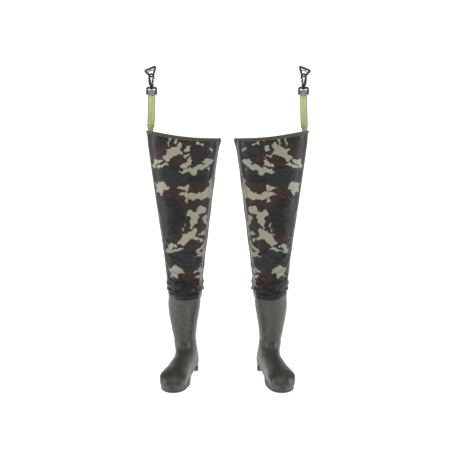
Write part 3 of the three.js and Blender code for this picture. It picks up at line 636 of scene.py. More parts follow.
# Folds of the front and the sides, as lines of (unrolled place, height) from the front's middle, outer side
# minus. Each also has its height and width. The knee's own folds slant down to the middle from both edges.
CREASES = [
    ([(66, 380), (57, 364), (37, 338), (14, 324), (-12, 331)], 4.2, 6.5),
    ([(72, 432), (62, 420), (55, 396), (47, 384)], 3.4, 5.5),
    ([(60, 428), (49, 404), (38, 384)], 2.6, 5.0),
    ([(86, 482), (74, 474), (60, 466), (50, 452)], 3.0, 5.5),
    ([(60, 352), (48, 326), (20, 315), (-6, 317)], 3.0, 5.0),
    ([(40, 306), (16, 311), (-16, 302), (-40, 305)], 2.6, 4.5),
    ([(-80, 492), (-70, 484), (-58, 470), (-46, 464)], 3.2, 6.0),
    ([(-72, 444), (-60, 436), (-50, 420), (-40, 414)], 3.2, 6.0),
    ([(-66, 400), (-50, 372), (-30, 356)], 2.2, 6.0),
    ([(-70, 352), (-56, 336), (-30, 326), (-8, 328)], 3.0, 5.5),
    ([(-34, 344), (-14, 340), (10, 346)], 1.8, 5.0),
    ([(94, 560), (80, 540), (70, 512)], 1.8, 8.0),
    ([(-104, 600), (-92, 570), (-78, 548)], 1.6, 9.0),
    ([(112, 700), (98, 668), (92, 640)], 1.4, 10.0),
    ([(120, 790), (96, 776), (70, 770)], 1.2, 10.0),
]
rng = np.random.default_rng(12)
for k in range(16):
    # The back's folds lie between the outer edge and the seam, further round the unrolled leg.
    middle_x, middle_z = -rng.uniform(140, 330), 318 + 200 * rng.uniform(0, 1) ** 1.4
    half, slope = rng.uniform(14, 34), rng.uniform(-0.9, 0.9)
    line = [(middle_x + s * half, middle_z + s * half * slope - 5 * (1 - s * s)) for s in (-1, -0.4, 0.3, 1)]
    CREASES.append((line, rng.uniform(1.6, 3.4), rng.uniform(5, 8)))


def unrolled(points):
    """Sideways place on the flattened cloth, in mm from the front's middle. On the front it grows with x.
    Round the sides it grows with the length of the surface, and it jumps only at the seam."""
    x, y = points[..., 0], points[..., 1]
    columns = x.shape[1]
    front = int(columns * 0.75)
    step_x, step_y = np.diff(x, axis=1), np.diff(y, axis=1)
    length = np.hypot(step_x, step_y)
    facing = ease(np.abs(step_x) / np.maximum(length, 1e-9), 0.55, 0.85)
    facing = facing * (np.arange(columns - 1) > columns / 2)
    step = mix(length, np.abs(step_x), facing)
    total = np.concatenate([np.zeros((len(x), 1)), np.cumsum(step, axis=1)], 1)
    return total - total[:, front : front + 1] + x[:, front : front + 1]


def leg_pushed(t, v, offset):
    """The leg at angle t and share v of its height, with its folds, moved outwards by offset."""
    z = mix(LEG_LOW, hem_at(t), v)
    points, out = leg_plain(t, z)
    flat_x = unrolled(points)
    loose = ease(z, 290, 302) * (1 - ease(z, 800, 850))
    push = np.zeros_like(z)
    for line, height, wide in CREASES:
        push += crease(flat_x, z, line, CREASE_DEPTH * height, wide)
    # The lowest roll hangs over the weld; a softer one lies above it. Both vary on the way round.
    roll = 0.72 + 0.2 * np.sin(3 * t + 0.8) + 0.12 * np.sin(7 * t + 2.0)
    second = 0.6 + 0.4 * np.sin(2 * t + 2.4)
    centre = 301.5 + 3 * np.sin(2 * t + 0.5)
    push += 6.5 * roll * np.exp(-(((z - centre) / 6.5) ** 2))
    push += 3.6 * second * np.exp(-(((z - 324 - 4 * np.sin(t + 1)) / 8) ** 2))
    push -= 2.0 * np.exp(-(((z - 314) / 4) ** 2)) * (0.6 + 0.4 * np.sin(4 * t))
    # Slow waves down the leg, where it hangs in shallow flutes, and broad dents at the knee.
    hang = ease(z, 360, 600)
    push += hang * (1.5 * np.sin(3 * t + 0.6 + z * 0.004) + 0.9 * np.sin(5 * t + 2 - z * 0.006))
    push += 1.4 * np.sin(z * 0.05 + 3 * np.sin(t)) * np.cos(2 * t + z * 0.01) * ease(z, 330, 370) * (1 - hang)
    # Finer puckers near the weld.
    push += 0.5 * np.sin(23 * t + 5 * np.sin(z * 0.06)) * np.exp(-(((z - 300) / 26) ** 2))
    moved = points + out * (push * loose + offset)[..., None]
    droop = 5.5 * roll * np.exp(-(((z - centre - 3) / 7) ** 2)) * ease(z, 291, 300)
    moved[..., 2] -= droop
    # The hem is pulled to a small point at the seam.
    corner = np.exp(-((np.minimum(t, 2 * np.pi - t) / 0.10) ** 2)) * ease(v, 0.93, 1)
    moved[..., 2] += 2 * corner
    moved[..., 0] += 3 * corner
    return moved, flat_x


print("folds in the leg:", len(CREASES), "and its hem at", HEM_INNER + LEG_LIFT, "to", HEM_OUTER + LEG_LIFT)

# %% [markdown]
# ## The print
#
# The camouflage is drawn as outlines on the flattened cloth, in millimetres. Like real printed cloth it
# repeats, here on a slanted lattice. Each outline gets its corners cut once, which rounds it but keeps its
# points. For every point of the cloth, `printed_distance` finds the distance to the nearest edge, positive
# inside a shape.

# %% Camouflage outlines
SAND_SHAPES = [
    [(-63, 791), (-30, 800), (-11, 816), (-2, 811), (-7, 786), (-1, 776), (24, 772), (7, 761), (-1, 769),
     (-13, 773), (-28, 771), (-36, 763), (-48, 753), (-58, 751), (-73, 761), (-65, 771), (-52, 785)],
    [(-75, 759), (-97, 758), (-111, 737), (-102, 725), (-67, 732), (-44, 742), (-54, 746), (-69, 745),
     (-91, 734), (-97, 735), (-83, 745), (-69, 752)],
    [(11, 805), (26, 802), (22, 796), (27, 788), (15, 786), (-1, 786), (7, 794)],
    [(46, 816), (71, 813), (69, 806), (52, 808), (41, 807)],
    [(83, 796), (104, 796), (96, 785)],
    [(100, 761), (100, 745), (85, 732), (73, 724), (50, 720), (46, 706), (32, 705), (24, 712), (-3, 710),
     (-17, 716), (-1, 718), (-7, 728), (15, 726), (40, 737), (71, 743), (57, 750), (81, 759)],
    [(20, 735), (38, 744), (32, 737)],
    [(78, 724), (87, 728), (87, 715)],
    [(-85, 682), (-66, 683), (-58, 669), (-49, 658), (-66, 652), (-73, 634), (-85, 644), (-97, 638),
     (-101, 677), (-92, 673)],
    [(105, 712), (104, 663), (100, 628), (73, 621), (52, 621), (26, 618), (15, 628), (-17, 640), (-9, 645),
     (20, 647), (36, 641), (65, 646), (85, 667), (89, 683), (98, 700)],
    [(22, 658), (36, 661), (26, 654)],
    [(44, 591), (61, 599), (79, 599), (78, 580), (71, 574), (50, 570), (48, 560)],
    [(14, 587), (9, 565), (23, 558), (24, 537), (20, 518), (27, 518), (37, 537), (51, 548), (49, 569),
     (65, 576), (75, 572), (79, 595), (51, 595), (47, 581), (33, 581)],
    [(58, 560), (79, 567), (86, 560), (84, 532), (73, 530), (71, 546)],
    [(0, 541), (8, 540), (7, 525), (0, 511), (-6, 514), (1, 527)],
    [(79, 483), (65, 464), (42, 446), (40, 436), (58, 441), (75, 450)],
    [(30, 369), (42, 376), (70, 385), (68, 359), (58, 364), (47, 364)],
    [(52, 331), (68, 338), (64, 315)],
]
BROWN_SHAPES = [
    [(-58, 813), (-42, 802), (-63, 792), (-65, 780), (-83, 755), (-106, 761), (-112, 780), (-77, 786)],
    [(-28, 771), (-13, 773), (-3, 769), (-22, 753), (-38, 745), (-52, 749), (-36, 763)],
    [(30, 771), (52, 774), (52, 759), (30, 753), (9, 757)],
    [(24, 819), (44, 819), (38, 808), (24, 810)],
    [(73, 808), (110, 808), (104, 798), (77, 800)],
    [(-11, 673), (81, 673), (65, 648), (36, 643), (20, 650), (-11, 648)],
    [(-26, 636), (20, 628), (26, 617), (81, 619), (73, 605), (42, 595), (40, 583), (11, 593), (-13, 615)],
    [(47, 546), (70, 544), (70, 530), (49, 518), (35, 530)],
    [(14, 483), (49, 481), (70, 485), (47, 450), (9, 450)],
    [(-9, 371), (28, 376), (61, 362), (37, 334), (-2, 343)],
]
BLACK_SHAPES = [
    [(-126, 843), (-65, 829), (-69, 802), (-81, 790), (-118, 776)],
    [(-46, 751), (7, 757), (36, 747), (-3, 724), (-34, 732)],
    [(-48, 656), (-66, 652), (-73, 622), (-46, 601), (-1, 599), (-26, 636)],
    [(20, 693), (81, 700), (77, 677), (30, 675)],
    [(-126, 712), (-84, 716), (-60, 704), (-90, 690), (-122, 690)],
    [(-30, 590), (-4, 580), (-2, 548), (-34, 560)],
]
REPEAT_A, REPEAT_B = (50, -290), (-255, -75)
print("outlines:", len(SAND_SHAPES), "sand,", len(BROWN_SHAPES), "brown,", len(BLACK_SHAPES), "black")


def cut_corners(outline):
    """Each corner is replaced by two points, a tenth of the way along its edges."""
    p = np.array(outline, float)
    q = np.roll(p, -1, 0)
    return np.stack([mix(p, q, 0.1), mix(p, q, 0.9)], 1).reshape(-1, 2)


def printed_distance(x, z, shapes, reach=14.0):
    """Distance in mm to the nearest printed edge, positive inside any shape, held at -reach far outside."""
    result = np.full(x.shape, -reach)
    for outline in shapes:
        outline = cut_corners(outline)
        for i in range(-1, 3):
            for j in range(-1, 3):
                shape = outline + np.array(REPEAT_A) * i + np.array(REPEAT_B) * j
                low, high = shape.min(0) - reach, shape.max(0) + reach
                near = (x > low[0]) & (x < high[0]) & (z > low[1]) & (z < high[1])
                if not near.any():
                    continue
                p = np.stack([x[near], z[near]], -1)[:, None]
                a, b = shape[None], np.roll(shape, -1, 0)[None]
                edge = b - a
                share = np.clip(((p - a) * edge).sum(-1) / (edge**2).sum(-1), 0, 1)
                away = np.linalg.norm(p - a - share[..., None] * edge, axis=-1).min(1)
                above = (a[..., 1] > p[..., 1]) != (b[..., 1] > p[..., 1])
                rise = np.where(np.abs(edge[..., 1]) < 1e-9, 1e-9, edge[..., 1])
                crossing = a[..., 0] + (p[..., 1] - a[..., 1]) / rise * edge[..., 0]
                inside = (above & (p[..., 0] < crossing)).sum(1) % 2 == 1
                result[near] = np.maximum(result[near], np.where(inside, away, -away))
    return result


def print_fields(x, z, from_seam):
    """The camouflage material's point attributes for cloth points at unrolled place x and height z."""
    # How bunched up the cloth is: most near the weld, and a little at the knee.
    slack = 0.12 + 0.88 * np.exp(-(((z - 318) / 75) ** 2)) + 0.3 * np.exp(-(((z - 460) / 50) ** 2))
    # The screens that print the cloth leave restless edges: each place is looked up a few millimetres away.
    x, z = (
        x + 2.4 * np.sin(z / 4.3 + 1.2 * np.sin(x / 9)) + 1.3 * np.sin(z / 2.1 - x / 3.1),
        z + 2.2 * np.sin(x / 4.7 + 1.2 * np.sin(z / 8)) + 1.2 * np.sin(x / 2.3 + z / 3.3),
    )
    return {
        "sand": printed_distance(x, z, SAND_SHAPES) - 0.8,
        "brown": printed_distance(x, z, BROWN_SHAPES) + 5,
        "black": printed_distance(x, z, BLACK_SHAPES) + 6,
        # How near the seam, for the paler skin there: weld whitening and a painted highlight.
        "seam": np.exp(-((from_seam / 20) ** 2)),
        "slack": slack,
    }


# %% Camouflage legs
angles = np.arange(LEG_COLUMNS) / LEG_COLUMNS * 2 * np.pi + 0.5 / LEG_COLUMNS
shares = np.linspace(0, 1, LEG_ROWS) ** 1.15
leg_v, leg_t = np.meshgrid(shares, angles, indexing="ij")
leg_outside, leg_flat = leg_pushed(leg_t, leg_v, 0.6)
leg_inside, _ = leg_pushed(leg_t, leg_v, -0.6)
leg_cloth = np.concatenate([leg_outside, leg_inside[::-1]])
seam_away = np.minimum(leg_t, 2 * np.pi - leg_t) * leg_section(leg_outside[..., 2])[1] * 0.75
leg_fields = print_fields(leg_flat, leg_outside[..., 2], seam_away)

# The seam's flange: two layers welded together, standing 3 to 8 mm out along the inner side.
FIN_START = 0.045
# Its section, as places across it in mm and shares of its reach.
FIN_SECTION = ((-0.7, -0.1), (-0.7, 0.93), (0.0, 1.0), (0.7, 0.93), (0.7, -0.1))
fin_v = np.linspace(FIN_START, 0.995, 240)
fin_reach = 3.4 + 3.8 * ease(fin_v, 0.88, 0.99) + 0.5 * np.sin(fin_v * 37)
fin_start = ease(fin_v, FIN_START, FIN_START + 0.025)
row, _ = leg_pushed(np.tile(angles, (len(fin_v), 1)), np.tile(fin_v[:, None], (1, LEG_COLUMNS)), 0.3)
edge = (row[:, 0] + row[:, -1]) / 2
fin = []
for across, out_by in FIN_SECTION:
    height = out_by * fin_reach * fin_start - 0.4 * (1 - fin_start)
    wave = 0.9 * np.sin(fin_v * 60 + 1) * max(out_by, 0)
    fin.append(edge + np.stack([height, across + wave, 0 * height], -1))
fin = np.stack(fin, 1)

# Each field of the outside is followed by zeros for the backing, which does not show the print, and by the
# flange's own values: the print of the cloth beside it, made paler by the weld's whitening and a painted
# highlight.
shape = join_parts([skin(leg_cloth, wrap_rows=True), skin(fin)])
leg_values = {}
for key, values in leg_fields.items():
    beside = np.interp(np.repeat(fin_v, len(FIN_SECTION)), shares, values[:, 0])
    # The flange is paler still, from the weld's whitening and a painted highlight.
    if key == "seam":
        beside = np.full_like(beside, 0.75)
    backing_values = np.zeros(len(shape[0]) - values.size - beside.size - 2)
    leg_values[key] = np.concatenate([values.ravel(), backing_values, beside, [0, 0]])

for side in SIDES:
    finishes = [camouflage, backing]
    piece = make("leg_cloth", shape, side, finishes, None, attributes=leg_values)
    inner_faces = np.zeros(len(piece.data.polygons), int)
    inner_faces[LEG_ROWS * LEG_COLUMNS : (2 * LEG_ROWS - 1) * LEG_COLUMNS] = 1
    piece.data.polygons.foreach_set("material_index", inner_faces)
    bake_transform(piece)
    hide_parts(f"{side}_leg_shin", f"{side}_leg_knee", f"{side}_leg_thigh")
print("leg cloth:", len(shape[0]), "points, print fields", sorted(leg_fields))

# %% [markdown]
# ## What follows the leg: the weld band and the hem binding
#
# These pieces lie on the finished cloth, so they are read off the same surface at other distances from it.
# `leg_rows` gives the whole way round at chosen heights. The weld band is a second layer of the print,
# sealed over the joint by two welded ridges. The hem is a tape folded over the edge, so its section is a
# thin U.

# %% Weld band and hem
def leg_rows(z, offset):
    """The leg all the way round, offset mm outside it, at heights z, one for each row or for each point."""
    t = np.tile(angles, (len(z), 1))
    z = z if z.ndim == 2 else np.tile(z[:, None], (1, LEG_COLUMNS))
    return leg_pushed(t, (z - LEG_LOW) / (hem_at(t) - LEG_LOW), np.asarray(offset)[:, None])


def above_hem(dz):
    """Heights that follow the hem, dz above it."""
    return hem_at(angles)[None] + np.asarray(dz)[:, None]


def band_profile(z0, z1, inner, outer, rows):
    """A thin wall's section: up its outside, rounded over, and down its inside, as (heights, offsets)."""
    z = np.linspace(z0, z1, rows)
    edge = (outer - inner) / 2
    into_edge = np.clip((np.abs(z - (z0 + z1) / 2) - (z1 - z0) / 2 + edge) / edge, 0, None)
    rounding = edge * (1 - np.sqrt(np.clip(1 - into_edge**2, 0, 1)))
    return np.concatenate([z, z[::-1]]), np.concatenate([outer - rounding, (inner + rounding)[::-1]])


band_z, band_out = band_profile(270.5, 289.5, 0.9, 2.1, 24)
ridges = 0.7 * np.exp(-(((band_z - 273) / 1.2) ** 2)) + 0.7 * np.exp(-(((band_z - 285) / 1.2) ** 2))
band_out = band_out + ridges * (band_out > 1.5)
band, band_flat = leg_rows(band_z, band_out)
band[..., 2] += 0.9 * np.sin(2 * angles + 1) + 0.5 * np.sin(5 * angles)

# The tape's section: up its outside, over the edge, down its inside, and back along the surfaces that it
# clasps.
TAPE_DEPTH = 9
rising, inner_rising = np.linspace(-TAPE_DEPTH, 0, 9), np.linspace(-TAPE_DEPTH, 0, 6)
over_dz, over_out = [0.7, 1.15, 1.3, 1.15, 0.7], [1.85, 1.2, 0, -1.2, -1.85]
hem_dz = np.concatenate([rising, over_dz, rising[::-1], inner_rising, [0.4], inner_rising[::-1]])
clasped_out = np.concatenate([np.full(6, -0.95), [0.0], np.full(6, 0.95)])
hem_out = np.concatenate([np.full(9, 2.0), over_out, np.full(9, -2.0), clasped_out])
hem, _ = leg_rows(above_hem(hem_dz), hem_out)
hem_along = np.tile(length_along(hem[0]), (len(hem), 1))
hem_across = np.tile(hem_dz[:, None], (1, LEG_COLUMNS))


def stitches(line, facing, length, gap, radius=0.32):
    """Small lens-shaped stitches along a line of points, each lying flat against the cloth."""
    at = length_along(line)
    middles = np.arange(gap, at[-1] - gap, length + gap)
    centre = np.stack([np.interp(middles, at, line[:, k]) for k in range(3)], -1)
    ahead = np.stack([np.interp(middles + 0.5, at, line[:, k]) for k in range(3)], -1) - centre
    ahead /= np.linalg.norm(ahead, axis=-1, keepdims=True)
    out = np.stack([np.interp(middles, at, facing[:, k]) for k in range(3)], -1)
    out /= np.linalg.norm(out, axis=-1, keepdims=True)
    side = np.cross(ahead, out)
    u, w = np.meshgrid(np.linspace(0.02, 0.98, 6) * np.pi, np.arange(6) / 6 * 2 * np.pi, indexing="ij")
    round_it = radius * np.sin(u)
    local = np.stack([-np.cos(u) * length / 2, round_it * np.cos(w), round_it * np.sin(w)], -1)
    basis = np.stack([ahead, side, out], 1)
    sunk = (centre + out * radius * 0.3)[:, None, None]
    return [skin(body) for body in np.einsum("rck,nkx->nrcx", local, basis) + sunk]


def cloth_line(dz, offset):
    """A line of points round the leg, dz above the hem, and the outward directions there."""
    near, _ = leg_rows(above_hem([dz]), [offset])
    far, _ = leg_rows(above_hem([dz]), [offset + 1])
    return near[0], far[0] - near[0]


far_from_seam = np.full_like(band_flat, 99.0)
band_values = {k: v.ravel() for k, v in print_fields(band_flat, band[..., 2], far_from_seam).items()}
hem_stitches = join_parts(stitches(*cloth_line(-6.6, 2.05), 3.2, 1.4))
for side in SIDES:
    shape = join_parts([skin(band, wrap_rows=True)])
    piece = make("weld_band_welded", shape, side, camouflage, "wader",
                 attributes=band_values)
    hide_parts(f"{side}_weld_band")
    shape = join_parts([skin(hem, wrap_rows=True)])
    values = {"along": hem_along.ravel(), "across": hem_across.ravel()}
    piece = make("hem_binding", shape, side, hem_tape, "thigh", attributes=values)
    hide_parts(f"{side}_hem_band")
    sewing = make("hem_stitches", hem_stitches, side, thread, "thigh")
print("band and hem points:", band[..., 0].size, hem[..., 0].size)

# %% [markdown]
# ## The strap
#
# The strap is one length of webbing. Its lower end is sewn inside the leg, under a patch. It folds out over the
# hem, turns by about 50 degrees as it rises, wraps the loop's bar and comes down in front, where it is bound in
# grey and sewn. The strip is worked out along its path: a middle line, a direction across, and a thin section.

# %% Strap
STRAP_WIDTH, STRAP_THICK, STRAP_LENGTH = 25, 1.5, 125
FOLD = np.array([-114.59, 35.73, 859.76])
BASE_TURN = math.radians(50.69)
BAR = FOLD + [0, -0.75, STRAP_LENGTH]
LEAN = 7  # the sewn end lies this much nearer the outer corner than the bar does, so the strap leans a little

TWIST = 20  # the strap turns from the hem's direction to the bar's over this height
across_way = np.array([math.cos(BASE_TURN), math.sin(BASE_TURN), 0])
columns_across = np.linspace(-STRAP_WIDTH / 2, STRAP_WIDTH / 2, 15)


def on_wall(low, high, rows, offset, places):
    """Rows of points on the leg's back outer wall, from height low to high, at places that are measured from
    the fold along across_way."""
    wall, _ = leg_rows(np.linspace(low, high, rows), np.full(rows, offset))
    found = []
    for row in wall[:, int(LEG_COLUMNS * 0.27) : int(LEG_COLUMNS * 0.5)]:
        place_on = (row - FOLD) @ across_way
        order = np.argsort(place_on)
        found.append(np.stack([np.interp(places, place_on[order], row[order, k]) for k in range(3)], -1))
    return np.array(found)


# The sewn part follows the cloth, then the strap rises from the fold and turns.
anchor_rows = on_wall(814, 852, 14, -2.95, columns_across - LEAN)
rise_z = np.concatenate([np.linspace(0.2, TWIST, 40), np.linspace(22, 108, 34)])
turn = BASE_TURN * (1 - ease(rise_z, 0, TWIST))
bow = 1.4 * np.sin(rise_z / STRAP_LENGTH * np.pi) + 0.5 * np.sin(rise_z / 20)
lean = -LEAN * (1 - rise_z / 110)[:, None] * across_way
rise_line = np.stack([0.5 * np.sin(rise_z / 40), bow, rise_z], -1) + lean + FOLD
rise_across = np.stack([np.cos(turn), np.sin(turn), 0 * turn], -1)
rise_rows = rise_line[:, None] + rise_across[:, None] * columns_across[None, :, None]
# The wrap round the bar, as (y, z) places against the fold, with the layers a hair apart.
WRAP_ROWS = 90
wrap = np.array(
    [(0.2, 112), (0.5, 116), (1.6, 120.5), (2.3, 124), (2.3, 128.5), (2.2, 132.5), (1.4, 134.9),
     (-0.75, 135.7), (-2.9, 134.9), (-3.7, 132.5), (-3.8, 129.5), (-3.7, 127), (-3.2, 124.5), (-2.5, 122),
     (-1.95, 119.5), (-1.75, 116.5)]
)
wrap = through(wrap, np.linspace(0, 1, WRAP_ROWS))
wrap_line = np.stack([np.zeros(WRAP_ROWS), wrap[:, 0], wrap[:, 1]], -1) + FOLD
wrap_rows = wrap_line[:, None] + np.array([1, 0, 0]) * columns_across[None, :, None]
middle = np.concatenate([anchor_rows, rise_rows, wrap_rows])
# Smooth the joins between the three parts along the strip.
for _ in range(2):
    middle[1:-1] = (middle[:-2] + 2 * middle[1:-1] + middle[2:]) / 4
ahead, sideways = np.gradient(middle, axis=0), np.gradient(middle, axis=1)
facing = np.cross(sideways, ahead)
facing /= np.linalg.norm(facing, axis=-1, keepdims=True)
edge_round = STRAP_THICK / 2 * (1 - 0.45 * (np.abs(columns_across) / (STRAP_WIDTH / 2)) ** 12)
front_face = middle + facing * edge_round[None, :, None]
back_face = middle - facing * edge_round[None, :, None]
strip = np.concatenate([front_face, back_face[:, ::-1]], 1)
run = length_along(middle[:, len(columns_across) // 2])
round_strip = 2 * len(columns_across)
strip_along = np.tile(run[:, None], (1, round_strip))
strip_across = np.tile(np.concatenate([columns_across, columns_across[::-1]]), (len(middle), 1))
BOUND_ROWS = 55  # the last rows of the strip, in grey
bound = np.tile((np.arange(len(middle)) >= len(middle) - BOUND_ROWS)[:, None] * 1.0, (1, round_strip))

# Stitches on the bound end, in a rectangle.
BOX_LOW, BOX_HIGH, BOX_HALF = 117.6, 121.2, 10
tail = FOLD + [0, -2.52, 0]
corners = [(-BOX_HALF, BOX_LOW), (BOX_HALF, BOX_LOW), (BOX_HALF, BOX_HIGH), (-BOX_HALF, BOX_HIGH)]
box_line = np.concatenate([np.linspace(p, q, 12)[:-1] for p, q in zip(corners, corners[1:] + corners[:1])])
box_y = -0.1 - 0.45 * ease(box_line[:, 1], BOX_LOW, BOX_HIGH + 0.2)
box_line = np.stack([box_line[:, 0], box_y, box_line[:, 1]], -1) + tail
sewn = join_parts(stitches(box_line, np.tile([0.0, -1.0, 0.0], (len(box_line), 1)), 2.0, 0.9))

# The patch over the sewn end: a welded square of the leg's own cloth.
patch_rows = on_wall(801.8, 843.5, 12, -5.2, np.linspace(-20.5, 20.5, 17))
patch_out = np.cross(np.gradient(patch_rows, axis=1), np.gradient(patch_rows, axis=0))
patch_out /= np.linalg.norm(patch_out, axis=-1, keepdims=True)
patch = np.concatenate([patch_rows + patch_out * 0.5, (patch_rows - patch_out * 0.5)[:, ::-1]], 1)

for side in SIDES:
    shape = join_parts([skin(strip)])
    values = {"along": strip_along.ravel(), "across": strip_across.ravel(), "bound": bound.ravel()}
    values = {k: np.append(v, [v[0], v[-1]]) for k, v in values.items()}
    piece = make("strap_webbing", shape, side, webbing, None, attributes=values)
    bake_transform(piece)
    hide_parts(f"{side}_strap", f"{side}_strap_anchor")
    sewing = make("strap_stitches", sewn, side, grey_thread, "strap")
    piece = make("strap_patch_cloth", join_parts([skin(patch)]), side, backing, "thigh")
    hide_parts(f"{side}_strap_patch")
print("strap length along its middle:", round(float(run[-1])), "mm")

# %% [markdown]
# ## Outsole and insole
#
# The outsole is one moulded rubber piece. Cross-sections along the foot give it its shape: the outline sets
# the width, and three curves set the underside, the flat seat and the lip that rises round the upper. The
# underside is a fine grid, so its cleats are real geometry.

# %% Outsole and insole
# Half widths of the outline, evenly spaced from the ball of the foot to the middle of the heel.
SOLE_HALVES = np.array([48.5, 46, 42, 38, 35, 33, 32.5, 34, 37])[:, None]
BALL_Y, HEEL_Y = -136, 35
SOLE_TOE, SOLE_HEEL = -234.1, 73.3
TREAD_DEPTH = 4
DARK_BELOW = 7.5  # the tread is dark rubber, and the rest of the sole has the boot's colour
# The line that the foot's middle follows, as places y and sideways x.
MIDDLE_Y = [-232, -216, -196, -162, -110, -72, -29, -8, 14, 35, 60]
MIDDLE_X = [-1.5, -3, -5.5, -7.5, -7, -6, -6, -5, -1, 1.5, 2]


def sole_half(y):
    """Half width of the sole's outline: half an ellipse at each end, with the waist between them."""
    middle = through(SOLE_HALVES, (y - BALL_Y) / (HEEL_Y - BALL_Y))[..., 0]
    toe = SOLE_HALVES[0, 0] * np.sqrt(np.clip(1 - ((BALL_Y - y) / 98.2) ** 2, 0, 1))
    heel = SOLE_HALVES[-1, 0] * np.sqrt(np.clip(1 - ((y - HEEL_Y) / 38.5) ** 2, 0, 1))
    return np.where(y < BALL_Y, toe, np.where(y > HEEL_Y, heel, middle))


def foot_middle(y):
    """Sideways place of the foot's middle at place y along it."""
    return np.interp(y, MIDDLE_Y, MIDDLE_X)


def tread(x, y):
    """Depth of the grooves between the cleats: bent bars under the ball, straight ones under the heel."""
    cut = np.zeros_like(x)
    for bar in (-202, -184, -166, -148, -130, -112, -94, -76):
        away = np.abs(y - bar - 7 * np.abs(x) / 50)
        under_ball = ease(y, -212, -206) * (1 - ease(y, -72, -68))
        cut = np.maximum(cut, TREAD_DEPTH * (1 - ease(away, 2.0, 3.0)) * under_ball)
    for bar in (38, 48, 58):
        cut = np.maximum(cut, TREAD_DEPTH * (1 - ease(np.abs(y - bar), 1.8, 2.8)))
    centre_cut = 3 * (1 - ease(np.abs(x + 3), 1.5, 2.5)) * ease(y, -186, -182) * (1 - ease(y, -84, -80))
    return np.maximum(cut, centre_cut)


ends = np.sin(np.linspace(-1, 1, 300) * math.pi / 2 * 0.995)
station = mix(SOLE_TOE, SOLE_HEEL, ends * 0.5 + 0.5)
half, centre = sole_half(station), foot_middle(station)
# The underside springs up at the toe and steps up under the waist; the lip rises at both ends.
low = 3 * np.clip((-192 - station) / 42, 0, 1) ** 1.6
low = low + 8 * ease(station, -55.5, -45.5) * (1 - ease(station, 23, 28))
lip = 15.2 + 4 * np.clip((-188 - station) / 46, 0, 1) ** 2 + 6 * ease(station, 38, 66)
seat = np.full_like(station, 12.6)
# Each section: up the right wall, over the lip, across the seat, and the mirror image; then the underside.
wall_z = np.array([0.06, 0.2, 0.34, 0.48, 0.6, 0.72, 0.84, 0.94])
wall_out = np.array([-0.5, -0.1, 0.0, 0.0, -0.9, 0.1, 0.0, -0.3])
right = [(half + o, mix(low, lip, w)) for w, o in zip(wall_z, wall_out)]
right += [(half - 1.2, lip), (half - 3.6, lip - 0.3)]
right += [(half - 5, seat + 0.8), (half - 7, seat), (half * 0.5, seat)]
right = [(np.maximum(x, 0.02 * half), z) for x, z in right]
bottom = [(share * np.maximum(half - 0.9, 0), low) for share in np.linspace(-1, 1, 46)]
section = right + [(0 * half, seat)] + [(-x, z) for x, z in right[::-1]] + bottom
sole = np.stack([np.stack([centre + x, station, z], -1) for x, z in section], 1)
underside = slice(len(right) * 2 + 1, None)
sole[:, underside, 2] += tread(sole[:, underside, 0], sole[:, underside, 1])
sole = turn_out(sole)
sole_shape = join_parts([skin(sole)])

# The insole: a flat boxy oval carried along the foot, a little narrower below, where the lining is.
INSOLE_Y = [-219, -214, -202, -181, -110, -72, -40, 0, 20, 40, 52, 60]
INSOLE_HALVES = [3, 11, 22, 32, 37, 31, 27, 26, 28, 29, 19, 3]
INSOLE_MIDDLE, INSOLE_HALF_THICK = 20.2, 1.7
insole_y = mix(INSOLE_Y[0], INSOLE_Y[-1], np.sin(np.linspace(-1, 1, 90) * math.pi / 2 * 0.99) * 0.5 + 0.5)
inside_half = np.interp(insole_y, INSOLE_Y, INSOLE_HALVES)
flat_x, flat_z = oval(np.arange(28) / 28 * 2 * np.pi, 1, 1, 4)
taper = mix(0.86, 0.97, (flat_z + 1) / 2)
insole_x = foot_middle(insole_y)[:, None] + inside_half[:, None] * (flat_x * taper)[None]
insole_z = INSOLE_MIDDLE + INSOLE_HALF_THICK * flat_z[None] + 0 * insole_x
insole = turn_out(np.stack([insole_x, insole_y[:, None] + 0 * insole_x, insole_z], -1))
for side in SIDES:
    piece = make("outsole_cleated", sole_shape, side, [boot_pvc, sole_rubber], "wader", lift=0)
    heights = np.array([p.center.z for p in piece.data.polygons]) / MM
    piece.data.polygons.foreach_set("material_index", (heights < DARK_BELOW).astype(int))
    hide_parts(f"{side}_outsole")
    piece = make("insole_felt", join_parts([skin(insole)]), side, insole_felt, "wader", lift=0)
    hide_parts(f"{side}_insole")
print("outsole points:", len(sole_shape[0]))

# %% [markdown]
# ## Hook, gate and rings
#
# The plastic parts are bars swept along a line. `sweep` carries a rounded section along a path in a plane,
# with a width and a thickness that may change on the way. `closed` joins the two ends, as in the ring that
# the belt goes through. The hook is swept in its own plane and then turned about the swivel's axis.

# %% Sweeps
def sweep(path, wide, thick, closed=False, columns=20, corners=2.8):
    """(vertices, faces) of a bar along (x, z) places. Its rounded section is wide in that plane and thick
    across it."""
    path = np.asarray(path, float)
    if closed:
        ahead = np.roll(path, -1, 0) - np.roll(path, 1, 0)
    else:
        ahead = np.gradient(path, axis=0)
    ahead /= np.linalg.norm(ahead, axis=-1, keepdims=True)
    side = np.stack([ahead[:, 1], -ahead[:, 0]], -1)
    a, b = oval(np.arange(columns) / columns * 2 * np.pi, 0.5, 0.5, corners)
    wide, thick = (np.broadcast_to(np.asarray(v, float), len(path)) for v in (wide, thick))
    flat = path[:, None] + side[:, None] * (wide[:, None] * a)[..., None]
    points = np.stack([flat[..., 0], thick[:, None] * b[None], flat[..., 1]], -1)
    return skin(points, wrap_rows=closed)


